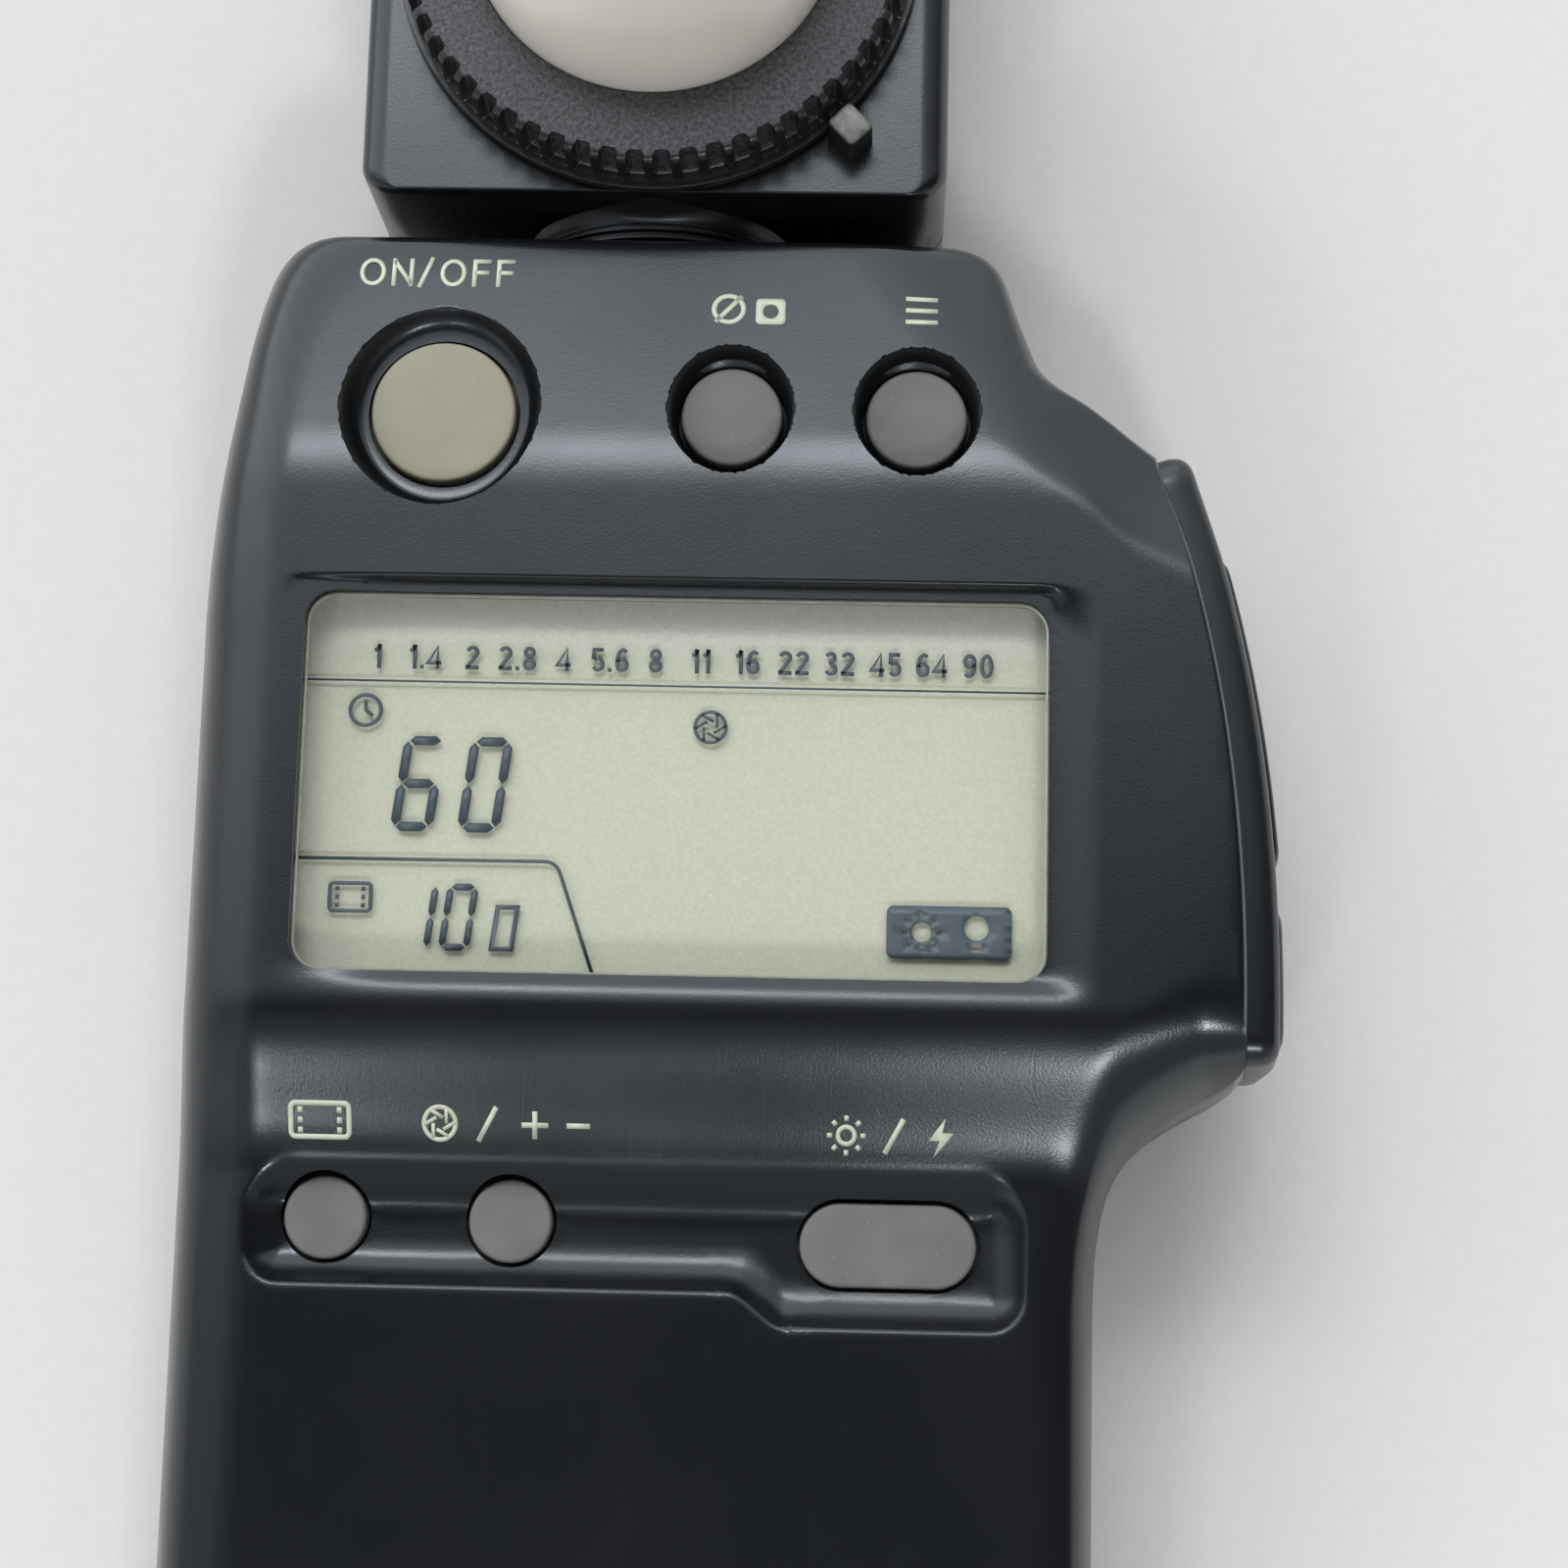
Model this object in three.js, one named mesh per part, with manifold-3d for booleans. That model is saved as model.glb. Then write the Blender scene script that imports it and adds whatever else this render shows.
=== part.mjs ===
// Handheld light meter with a turning light-receiving head, millimetres.
// It lies on its back: +Z out of the display, +Y towards the head, +X to the side keys.
// The origin is the middle of the back, half way along the length and the width.
import * as THREE from 'three';
import { mergeVertices } from 'three/addons/utils/BufferGeometryUtils.js';
import Module from 'manifold-3d';

const wasm = await Module();
wasm.setup();

// Whole meter
const overallWidth = 69;
const lobeReach = 11.9;
const bodyLength = 108.3;
const headGap = 2.2;
const headLength = 38.5;
const displayHeight = 25;

// Clearances and shared small sizes
const fitGap = 0.3;
const seamGap = 0.12;
const overrun = 5;
const roundSides = 24;
const smallSides = 12;

// Case covers
const caseWall = 1.7;
const partingHeight = 9;
const cornerRadius = 7;
const backEdgeHeight = 3.6;
const backEdgeShare = 0.4;
const edgeRoundShare = 0.3;
const rearHollowShare = 0.2;
const crownAllowance = 0.5;
const wellWall = 1.2;
const sideHeight = 12.5;
const topSideHeight = 17.5;
const seamSideHeight = 23.2;
const leftFlank = 6.4;
const rightFlank = 4.3;
const bottomFlank = 3.8;
const topFlank = 1.5;
const seamFlank = 0.7;

// Places along the outline, down from the body's top edge and in from its right edge
const sweepStartDown = 67.3;
const sweepReachX = 9.2;
const sweepEndDown = 54.2;
const lobeCorner = 3;
const shoulderIn = 7.9;
const shoulderDown = 12.9;
const shoulderInnerIn = 15.9;
const shoulderInnerDown = 7.6;
const upperRightIn = 17.6;
const upperCorner = 3.2;
const leftShoulderDrop = 8.3;
const leftShoulderIn = 2.5;
const leftBendDown = 27.8;
const seamSwell = 0.11;
const seamBulge = 4.5;

// Face heights along the length
const ridgeDown = 15.5;
const topEdgeHeight = 20.4;
const lowerRidgeDown = 49.6;
const gripTopDown = 59.3;
const gripTopHeight = 21.6;
const gripEndHeight = 19.6;
const shoulderRidgeTurn = 28;
const shoulderSlope = 22;

// Display
const windowMargins = 23.8;
const windowDepth = 23.2;
const windowX = -3.5;
const windowDown = 36.2;
const windowCorner = 1.8;
const windowThickness = 1.1;
const windowDrop = 0.9;
const windowLip = 1.2;
const windowLipThickness = 0.6;
const frameRecess = 0.6;
const frameLeft = 1.5;
const frameRight = 2.1;
const frameTop = 1;
const frameBottom = 1.3;
const lcdMargin = 1.9;
const lcdSideMargin = 0.6;
const lcdDrop = 0.8;
const lcdThickness = 2.1;
const holderWall = 1.4;
const holderSideWall = 0.8;
const holderDepth = 3.8;
const holderLedge = 1.6;
const zebraWidth = 2;
const zebraInset = 1.6;
const zebraSpanShare = 0.86;

// Round keys on the upper slope: power key, average key, memory key
const powerIn = 15.9;
const upperKeyDown = 12.5;
const powerRadius = 4.5;
const powerDishRadius = 6.3;
const powerFloor = 21.9;
const dishTaper = 0.4;
const averageToMemory = 11.5;
const memoryIn = 6;
const upperKeyRadius = 3.15;
const upperDishRadius = 3.95;
const upperFloor = 21.7;

// Keys in the lower pocket
const isoIn = 4.7;
const isoToAperture = 11.2;
const lowerKeyDown = 62.3;
const lowerKeyRadius = 2.5;
const modeIn = 8.2;
const modeDown = 63.3;
const modeLength = 10.6;
const pocketFloor = 19.6;
const pocketLeftIn = 5.9;
const pocketRightIn = 4.4;
const pocketTopDown = 59.4;
const pocketStepDown = 66.3;
const pocketBottomDown = 68.3;
const pocketStepIn = 16;
const pocketStepRun = 3.4;
const pocketCorner = 2;

// Shared key sizes
const keyProud = 0.6;
const keyTravel = 0.5;
const keySlit = 0.25;
const keyFlange = 0.7;
const keyFlangeThickness = 0.8;
const keySkin = 1.4;
const keyStemShare = 0.55;
const matThickness = 1;
const matMargin = 1.6;
const matLift = 0.3;
const nubRadius = 1.3;

// Main board and what it carries
const boardTop = 14;
const boardThickness = 1.2;
const boardLeftIn = 6;
const boardUpperDown = 9.4;
const boardLowerDown = 69.4;
const boardScrewRadius = 0.8;
const boardScrewHead = 1.5;
const boardScrewHeadHeight = 0.8;
const boardScrewLength = 5;
const boardPostRadius = 1.7;
const boardPostLeftIn = 8.7;
const boardPostRightIn = 13.5;
const boardPostDown = 19.1;
const chipSize = 14;
const chipHeight = 2.2;
const chipIn = 22.5;
const chipDown = 37.8;
const memoryChipLength = 10;
const memoryChipWidth = 6;
const memoryChipHeight = 1.6;
const memoryChipIn = 18.5;
const crystalLength = 8;
const crystalRadius = 1.3;
const capacitorRadius = 2.6;
const capacitorHeight = 5.4;
const capacitorIn = 12.5;
const capacitorDown = 25.8;

// Battery, one AA cell, and its door
const cellRadius = 7.25;
const cellLength = 49.2;
const cellNipRadius = 2.7;
const cellNipLength = 1.2;
const cellAside = 3.35;
const cellBackGap = 0.5;
const contactThickness = 0.4;
const contactWidth = 9;
const springWire = 0.35;
const springRadius = 3;
const springTurns = 3;
const springTaperShare = 0.4;
const springSteps = 12;
const springHeight = 3.4;
const doorWidth = 19;
const doorThickness = 1.6;
const doorRunOn = 2.5;
const doorLipWidth = 1.6;
const doorLedge = 1.3;
const doorSurround = 1.3;
const thumbRibs = 5;
const thumbRibPitch = 1.8;
const thumbRibHeight = 0.35;
const thumbRibLength = 10;

// Side key panel, rocker and measuring button
const panelThickness = 2.05;
const panelLow = 4.6;
const panelHigh = 20.4;
const panelBevel = 1.2;
const panelSteps = 12;
const panelStartShare = 0.018;
const panelEndShare = 0.985;
const sideKeyMiddle = 12.6;
const rockerProud = 0.45;
const rockerHalfHeight = 3.6;
const rockerStartShare = 0.34;
const rockerEndShare = 0.83;
const sideKeyLift = 0.75;
const measureProud = 0.29;
const measureHalfHeight = 5.2;
const measureStartShare = 0.05;
const measureEndShare = 0.265;
const stemInShare = 0.12;
const sideStemSize = 2.6;
const sideStemLength = 2.4;
const sideBoardThickness = 1;
const sideBoardMargin = 3;
const sideBoardHeight = 8.4;

// Neck
const neckAside = 0.15;
const neckHeight = 11.25;
const neckTubeRadius = 6.3;
const neckBore = 4.2;
const neckRunGap = 0.3;
const collarWall = 1.1;
const collarFlange = 8.6;
const collarFlangeThickness = 0.9;
const collarInside = 2.6;
const tubeInBody = 5.2;
const tubeInHead = 2;
const flareRadius = 10.2;
const flareThickness = 0.5;
const clipThickness = 0.6;
const clipRadius = 8.2;
const clipGap = 4;
const detentBallRadius = 1;
const detentLength = 9;
const detentWidth = 3;
const wireRadius = 1.6;
const wireInBody = 9;

// Head
const headWidth = 37.4;
const headFace = 22;
const headBack = 0.5;
const headParting = 10.5;
const headWall = 1.7;
const headCorner = 2.6;
const headEdge = 1.8;
const socketUp = 16.7;
const socketRadius = 13.8;
const socketBore = 11.2;
const socketHeight = 2.1;
const socketSink = 1.2;
const cupRadius = 10.6;
const cupWall = 1;
const cupDepth = 7.4;
const filterRadius = 9;
const filterThickness = 1.2;
const filterDrop = 2.4;
const photocellSize = 9;
const photocellHeight = 1.2;
const headBoardMargins = 9.4;
const headBoardLength = 24;
const headBoardThickness = 1.2;
const lugAngle = -46;
const lugLength = 2.3;
const lugWidth = 2;
const lugHeight = 2.8;

// Diffuser: knurled ring and white dome
const ringFlangeRadius = 16.75;
const ringFlangeThickness = 0.7;
const ringRadius = 16.4;
const ringTop = 26.4;
const ringPlate = 1;
const ringSkirt = 14.3;
const domeRadius = 12.7;
const domeHeight = 11.4;
const domeWall = 1.2;
const domeFlange = 1.3;
const domeFlangeThickness = 0.7;
const toothCount = 60;
const toothDepth = 0.8;
const toothWidthShare = 0.5;

// Fasteners and small fittings
const screwHeadRadius = 1.9;
const screwHeadHeight = 1.2;
const screwShank = 0.95;
const screwPilotGap = 0.25;
const screwSink = 0.5;
const screwLength = 11;
const postWall = 1.35;
const crossLength = 2.2;
const crossWidth = 0.5;
const crossDepth = 0.6;
const casePostLeftIn = 6.1;
const casePostTopIn = 5.9;
const casePostRightUpperIn = 3.7;
const casePostRightLowerIn = 5.6;
const casePostBottomIn = 7.5;
const headPostIn = 4.1;
const headPostY = 5;
const syncIn = 12.9;
const syncHeight = 9;
const syncRadius = 3;
const syncWall = 0.8;
const syncLength = 6;
const syncFlange = 3.8;
const syncPinRadius = 0.6;
const strapIn = 16.5;
const strapGap = 6;
const strapDepth = 3.4;
const strapRise = 5;
const strapPinRadius = 0.6;
const strapWall = 1.6;
const plateWidth = 30;
const plateLength = 16;
const plateThickness = 0.3;
const plateDown = 19.8;

// Places worked out from the sizes above
const overallLength = bodyLength + headGap + headLength;
const bodyBottom = -overallLength / 2;
const bodyTop = bodyBottom + bodyLength;
const sweepStartY = bodyTop - sweepStartDown;
const sweepEndY = bodyTop - sweepEndDown;
const shoulderY = bodyTop - shoulderDown;
const shoulderInnerY = bodyTop - shoulderInnerDown;
const leftBendY = bodyTop - leftBendDown;
const ridgeY = bodyTop - ridgeDown;
const lowerRidgeY = bodyTop - lowerRidgeDown;
const gripTopY = bodyTop - gripTopDown;
const windowY = bodyTop - windowDown;
const upperKeyY = bodyTop - upperKeyDown;
const lowerKeyY = bodyTop - lowerKeyDown;
const modeY = bodyTop - modeDown;
const pocketTop = bodyTop - pocketTopDown;
const pocketStepY = bodyTop - pocketStepDown;
const pocketBottom = bodyTop - pocketBottomDown;
const boardUpper = bodyTop - boardUpperDown;
const boardLower = bodyTop - boardLowerDown;
const boardPostY = bodyTop - boardPostDown;
const chipY = bodyTop - chipDown;
const capacitorY = bodyTop - capacitorDown;
const plateY = bodyTop - plateDown;
const headBottom = bodyTop + headGap;
const headTop = overallLength / 2;
const bodyLeft = -overallWidth / 2;
const bodyRight = overallWidth / 2;
const gripRight = bodyRight - lobeReach;
const seamLowX = bodyRight - panelThickness - measureProud - seamSwell;
const seamLowY = sweepEndY + lobeCorner / 2;
const shoulderX = bodyRight - shoulderIn;
const shoulderInnerX = bodyRight - shoulderInnerIn;
const upperRightX = bodyRight - upperRightIn;
const windowWidth = overallWidth - windowMargins;
const powerX = bodyLeft + powerIn;
const memoryX = upperRightX - memoryIn;
const averageX = memoryX - averageToMemory;
const pocketLeft = bodyLeft + pocketLeftIn;
const pocketRight = gripRight - pocketRightIn;
const pocketStepX = pocketRight - pocketStepIn;
const isoX = pocketLeft + isoIn;
const apertureX = isoX + isoToAperture;
const modeX = pocketRight - modeIn;
const boardLeft = bodyLeft + boardLeftIn;
const chipX = bodyRight - chipIn;
const memoryChipX = bodyLeft + memoryChipIn;
const capacitorX = bodyLeft + capacitorIn;
const neckX = (bodyLeft + gripRight) / 2 - neckAside;
const cellX = neckX + cellAside;
const strapX = bodyLeft + strapIn;
const syncX = gripRight - syncIn;
const socketY = headBottom + socketUp;

const materials = {
  case: finish(0x3f4347, 0.42),
  head: finish(0x45484c, 0.5),
  ring: finish(0x2c2d30, 0.6),
  dome: finish(0xe6e2d8, 0.35),
  powerKey: finish(0x9e9b8a, 0.55),
  greyKey: finish(0x737472, 0.55),
  panel: finish(0x2f3235, 0.4),
  glass: finish(0xdfe6e0, 0.1),
  lcd: finish(0xc4c8ae, 0.3),
  moulding: finish(0x26282a, 0.6),
  rubber: finish(0x1d1f21, 0.85),
  zebra: finish(0xc8b23c, 0.8),
  board: finish(0x2f6b45, 0.6),
  chip: finish(0x1a1a1c, 0.5),
  metal: finish(0xb9bcbf, 0.3, 1),
  brass: finish(0xb69a56, 0.35, 1),
  battery: finish(0x8c9096, 0.4, 0.6),
  silicon: finish(0x3a3550, 0.2, 0.3),
  filter: finish(0x9fc4c0, 0.1),
  wire: finish(0x8a8d90, 0.7),
  plate: finish(0x77797b, 0.4, 0.7),
};

function finish(color, roughness, metalness = 0) {
  return new THREE.MeshStandardMaterial({ color, roughness, metalness });
}

// A three.js geometry as a solid that can be joined and cut
function solidOf(geometry) {
  const bare = geometry.index ? geometry.toNonIndexed() : geometry.clone();
  bare.deleteAttribute('normal');
  bare.deleteAttribute('uv');
  const merged = mergeVertices(bare, 1e-5);
  return new wasm.Manifold(new wasm.Mesh({
    numProp: 3,
    vertProperties: merged.attributes.position.array,
    triVerts: new Uint32Array(merged.index.array),
  }));
}

// A named mesh from a solid
function meshOf(name, solid, material) {
  const data = solid.getMesh();
  const position = new Float32Array(data.numVert * 3);
  for (let i = 0; i < data.numVert; i++) {
    position.set(data.vertProperties.subarray(i * data.numProp, i * data.numProp + 3), i * 3);
  }
  const geometry = new THREE.BufferGeometry();
  geometry.setAttribute('position', new THREE.BufferAttribute(position, 3));
  geometry.setIndex(new THREE.BufferAttribute(data.triVerts, 1));
  geometry.computeVertexNormals();
  const mesh = new THREE.Mesh(geometry, material);
  mesh.name = name;
  return mesh;
}

function joined(...solids) {
  return solids.reduce((sum, next) => sum.add(next));
}

// A box between two corners
function box(x0, y0, z0, x1, y1, z1) {
  const geometry = new THREE.BoxGeometry(x1 - x0, y1 - y0, z1 - z0);
  geometry.translate((x0 + x1) / 2, (y0 + y1) / 2, (z0 + z1) / 2);
  return solidOf(geometry);
}

// A box by its middle and its size, from one height to another
function slab(x, y, width, length, z0, z1) {
  return box(x - width / 2, y - length / 2, z0, x + width / 2, y + length / 2, z1);
}

// An upright cylinder or cone between two heights
function post(x, y, radius, z0, z1, topRadius = radius, sides = roundSides) {
  const geometry = new THREE.CylinderGeometry(topRadius, radius, z1 - z0, sides);
  geometry.rotateX(Math.PI / 2);
  geometry.translate(x, y, (z0 + z1) / 2);
  return solidOf(geometry);
}

// A small upright pin, with fewer sides
function peg(x, y, radius, z0, z1, topRadius = radius) {
  return post(x, y, radius, z0, z1, topRadius, smallSides);
}

// A cylinder lying along Y between two places
function barrel(x, z, radius, y0, y1, sides = roundSides) {
  const geometry = new THREE.CylinderGeometry(radius, radius, y1 - y0, sides);
  geometry.translate(x, (y0 + y1) / 2, z);
  return solidOf(geometry);
}

// A closed plan outline raised between two heights
function prism(points, z0, z1) {
  const geometry = new THREE.ExtrudeGeometry(new THREE.Shape(points), {
    depth: z1 - z0, bevelEnabled: false, curveSegments: 1,
  });
  geometry.translate(0, 0, z0);
  return solidOf(geometry);
}

// A side profile of (y, z) points carried across the whole width
function sideProfile(points) {
  const width = overallWidth + 2 * overrun;
  const geometry = new THREE.ExtrudeGeometry(new THREE.Shape(points), {
    depth: width, bevelEnabled: false,
  });
  geometry.rotateY(Math.PI / 2);
  geometry.rotateX(Math.PI / 2);
  geometry.translate(-width / 2, 0, 0);
  return solidOf(geometry);
}

// A profile of (radius, height) points turned about an upright line
function turned(points, x, y, sides = roundSides) {
  const geometry = new THREE.LatheGeometry(points.map(([r, z]) => new THREE.Vector2(r, z)), sides);
  geometry.rotateX(Math.PI / 2);
  geometry.translate(x, y, 0);
  return solidOf(geometry);
}

// A profile of (radius, y) points turned about a line along Y
function turnedAlongY(points, x, z, sides = roundSides) {
  const geometry = new THREE.LatheGeometry(points.map(([r, y]) => new THREE.Vector2(r, y)), sides);
  geometry.translate(x, 0, z);
  return solidOf(geometry);
}

// Rings of equal point counts joined into one closed solid, lowest ring first
function loft(rings) {
  const count = rings[0].length;
  const position = rings.flat().flatMap((p) => [p.x, p.y, p.z]);
  const faces = [];
  for (let k = 0; k + 1 < rings.length; k++) {
    for (let i = 0; i < count; i++) {
      const a = k * count + i;
      const b = k * count + (i + 1) % count;
      faces.push(a, b, b + count, a, b + count, a + count);
    }
  }
  const lid = (ring, base, up) => {
    const flat = ring.map((p) => new THREE.Vector2(p.x, p.y));
    for (const [a, b, c] of THREE.ShapeUtils.triangulateShape(flat, [])) {
      const face = up ? [a, b, c] : [a, c, b];
      faces.push(...face.map((i) => base + i));
    }
  };
  lid(rings[0], 0, false);
  lid(rings[rings.length - 1], (rings.length - 1) * count, true);
  const geometry = new THREE.BufferGeometry();
  geometry.setAttribute('position', new THREE.Float32BufferAttribute(position, 3));
  geometry.setIndex(faces);
  return solidOf(geometry);
}

function at(x, y) {
  return new THREE.Vector2(x, y);
}

// A rectangle with round corners, as plan points
function roundedRectangle(x0, y0, x1, y1, radius, steps = 5) {
  const points = [];
  const corners = [[x1, y0, -1, 1, -90], [x1, y1, -1, -1, 0], [x0, y1, 1, -1, 90], [x0, y0, 1, 1, 180]];
  for (const [cx, cy, sx, sy, start] of corners) {
    for (let i = 0; i <= steps; i++) {
      const turn = THREE.MathUtils.degToRad(start + 90 * i / steps);
      points.push(at(cx + sx * radius + radius * Math.cos(turn), cy + sy * radius + radius * Math.sin(turn)));
    }
  }
  return points;
}

// The same outline moved inwards by a distance, point by point
function inset(points, distance) {
  const count = points.length;
  return points.map((p, i) => {
    const before = p.clone().sub(points[(i + count - 1) % count]).normalize();
    const after = points[(i + 1) % count].clone().sub(p).normalize();
    const normal = at(-before.y - after.y, before.x + after.x).normalize();
    const stretch = Math.max(1 / 2, normal.x * -before.y + normal.y * before.x);
    return p.clone().add(normal.multiplyScalar(distance / stretch));
  });
}

// Handles that round the outline, as shares of the size that each belongs to
const outlineShares = {
  seamFirst: 0.34, seamSecond: 0.66, seamEnd: 0.02, seamTrim: 0.14, corner: 0.45,
  lobeIn: 0.75, lobeDown: 0.67, lobeOut: 0.34, lobeRise: 0.18, lobeTop: 0.35,
  sweepLean: 0.23, sweepUp: 0.6, sweepFlank: 0.2, sweepBack: 0.62, sweepDrop: 0.33,
  shoulderBack: 0.42, shoulderRise: 0.34, shoulderOut: 0.12, shoulderDrop: 0.5,
  upperDrop: 0.2, upperBack: 0.5, upperRise: 0.42, upperRound: 0.25, topRight: 1.2, topLeft: 0.65,
  crownBack: 0.42, crownIn: 0.13, crownRise: 0.62, bendIn: 0.4, bendDrop: 0.18, bendRise: 0.28,
};

// The side seam between the case and the key panel, from its low end to the shoulder
function seamCurve() {
  const rise = shoulderY - seamLowY;
  return new THREE.CubicBezierCurve(
    at(seamLowX, seamLowY),
    at(seamLowX + 5 * seamSwell, seamLowY + rise * outlineShares.seamFirst),
    at(shoulderX + seamBulge, seamLowY + rise * outlineShares.seamSecond),
    at(shoulderX, shoulderY),
  );
}

function bend(from, first, second, to) {
  return new THREE.CubicBezierCurve(from, first, second, to);
}

// The case outline, outer or at the edge of its flat face, as a list of curves.
// share 0 is the widest line, share 1 the line where the flanks meet the face.
function outlineCurves(share) {
  const right = gripRight - rightFlank * share;
  const bottom = bodyBottom + bottomFlank * share;
  const corner = cornerRadius - (cornerRadius - bottomFlank) * share / 2;
  const left = bodyLeft + leftFlank * share;
  const handle = corner * outlineShares.corner;
  return [
    new THREE.LineCurve(at(left + corner, bottom), at(right - corner, bottom)),
    bend(at(right - corner, bottom), at(right - handle, bottom), at(right, bottom + handle),
      at(right, bottom + corner)),
    new THREE.LineCurve(at(right, bottom + corner), at(right, sweepStartY)),
    ...lobeCurves(share, right),
    ...shoulderCurves(share, left),
    new THREE.LineCurve(at(left, leftBendY), at(left, bottom + corner)),
    bend(at(left, bottom + corner), at(left, bottom + handle), at(left + handle, bottom),
      at(left + corner, bottom)),
  ];
}

// From the grip's right side up the sweep, round the lobe's low corner and along the seam
function lobeCurves(share, right) {
  const by = outlineShares;
  const seam = seamCurve();
  const trim = by.seamEnd + by.seamTrim * share;
  const setIn = seamFlank * share;
  const seamStart = seam.getPoint(trim).sub(at(setIn, 0));
  const sweepStart = at(right, sweepStartY);
  const sweepEnd = at(seamStart.x - lobeCorner * by.lobeIn, seamStart.y - lobeCorner * by.lobeDown);
  const lean = rightFlank * by.sweepLean * share;
  const up = (sweepEnd.y - sweepStartY) * by.sweepUp + (leftFlank - seamFlank) * by.sweepFlank * share;
  return [
    bend(sweepStart, at(right + lean, sweepStartY + up),
      at(sweepEnd.x - sweepReachX * by.sweepBack, sweepEnd.y - sweepReachX * by.sweepDrop), sweepEnd),
    bend(sweepEnd, at(sweepEnd.x + lobeCorner * by.lobeOut, sweepEnd.y + lobeCorner * by.lobeRise),
      at(seamStart.x, seamStart.y - lobeCorner * by.lobeTop), seamStart),
    new SeamStretch(seam, trim, 1 - by.seamEnd * share, setIn),
  ];
}

// From the seam's upper end over the shoulder, along the top and down the left shoulder
function shoulderCurves(share, left) {
  const by = outlineShares;
  const top = bodyTop - topFlank * share;
  const seamEnd = seamCurve().getPoint(1 - by.seamEnd * share).sub(at(seamFlank * share, 0));
  const inner = at(shoulderInnerX - topFlank * share, shoulderInnerY - topFlank * share);
  const upper = at(upperRightX - topFlank * share, bodyTop - upperCorner - topFlank * share * by.upperDrop);
  const leftShoulder = at(left + leftShoulderIn * (1 - share / 2), bodyTop - leftShoulderDrop);
  const topLeft = at(left + leftShoulderIn + cornerRadius * by.topLeft, top);
  const topRight = at(upperRightX - upperCorner * by.topRight - topFlank * share, top);
  const leftRun = bodyTop - leftBendY;
  const reach = shoulderX - inner.x;
  const rise = inner.y - shoulderY;
  return [
    bend(seamEnd, at(shoulderX - reach * by.shoulderBack, shoulderY + rise * by.shoulderRise),
      at(inner.x + reach * by.shoulderOut, inner.y - rise * by.shoulderDrop), inner),
    new THREE.QuadraticBezierCurve(inner,
      at(inner.x - (inner.x - upper.x) * by.upperBack, inner.y + (upper.y - inner.y) * by.upperRise), upper),
    new THREE.QuadraticBezierCurve(upper, at(upper.x - upperCorner * by.upperRound, top), topRight),
    new THREE.LineCurve(topRight, topLeft),
    bend(topLeft, at(topLeft.x - cornerRadius * by.crownBack, top),
      at(leftShoulder.x + cornerRadius * by.crownIn, leftShoulder.y + (top - leftShoulder.y) * by.crownRise),
      leftShoulder),
    bend(leftShoulder,
      at(leftShoulder.x - leftShoulderIn * by.bendIn, leftShoulder.y - leftRun * by.bendDrop),
      at(left, leftBendY + leftRun * by.bendRise), at(left, leftBendY)),
  ];
}

// Part of the seam, set in by the seam's own small flank
class SeamStretch extends THREE.Curve {
  constructor(seam, from, to, setIn) {
    super();
    Object.assign(this, { seam, from, to, setIn });
  }

  getPoint(t) {
    const p = this.seam.getPoint(this.from + (this.to - this.from) * t);
    return at(p.x - this.setIn, p.y);
  }
}

// Steps along each of the outline's curves, and the height where each curve's side wall ends
const outlineSteps = [1, 4, 1, 8, 3, 6, 6, 3, 4, 1, 6, 5, 1, 4];
const wallEnds = [
  ...Array(5).fill(sideHeight), seamSideHeight, seamSideHeight,
  ...Array(5).fill(topSideHeight), ...Array(3).fill(sideHeight),
];

// Points of the outline, each with the height where its side wall ends
function outlinePoints(share) {
  return outlineCurves(share).flatMap((curve, k) => {
    const steps = outlineSteps[k];
    const [from, to] = [wallEnds[k], wallEnds[k + 1]];
    return Array.from({ length: steps }, (_, i) => {
      const p = curve.getPoint(i / steps);
      return { x: p.x, y: p.y, wall: from + (to - from) * i / steps };
    });
  });
}

// Each ring's share of the way in over the flank and of the way up it
const flankShares = [[0, 0], [0.1, 0.3], [0.3, 0.58], [0.6, 0.82], [1, 1]];

// One ring of the front cover, rise 0 at the side wall's end and 1 at the face
function flankRing(share, rise, setIn, drop) {
  const points = outlinePoints(share);
  const plan = inset(points.map((p) => at(p.x, p.y)), setIn);
  const crown = displayHeight + crownAllowance;
  return plan.map((p, i) => {
    const wall = points[i].wall;
    return new THREE.Vector3(p.x, p.y, wall + (crown - wall) * rise - drop);
  });
}

// The front cover's outer form, or with a wall thickness its inner one
function frontForm(wall) {
  const base = partingHeight + (wall ? -overrun : 0);
  const floor = flankRing(0, 0, wall, 0).map((p) => new THREE.Vector3(p.x, p.y, base));
  const rings = [floor];
  for (const [share, rise] of flankShares) rings.push(flankRing(share, rise, wall, wall));
  const body = loft(rings).intersect(faceProfile(wall));
  return body.subtract(shoulderCut(wall));
}

// The step down from the display to the grip, in shares of its run and of its drop
const scoopShares = [[0.35, 0.28], [0.75, 0.82]];

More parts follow.
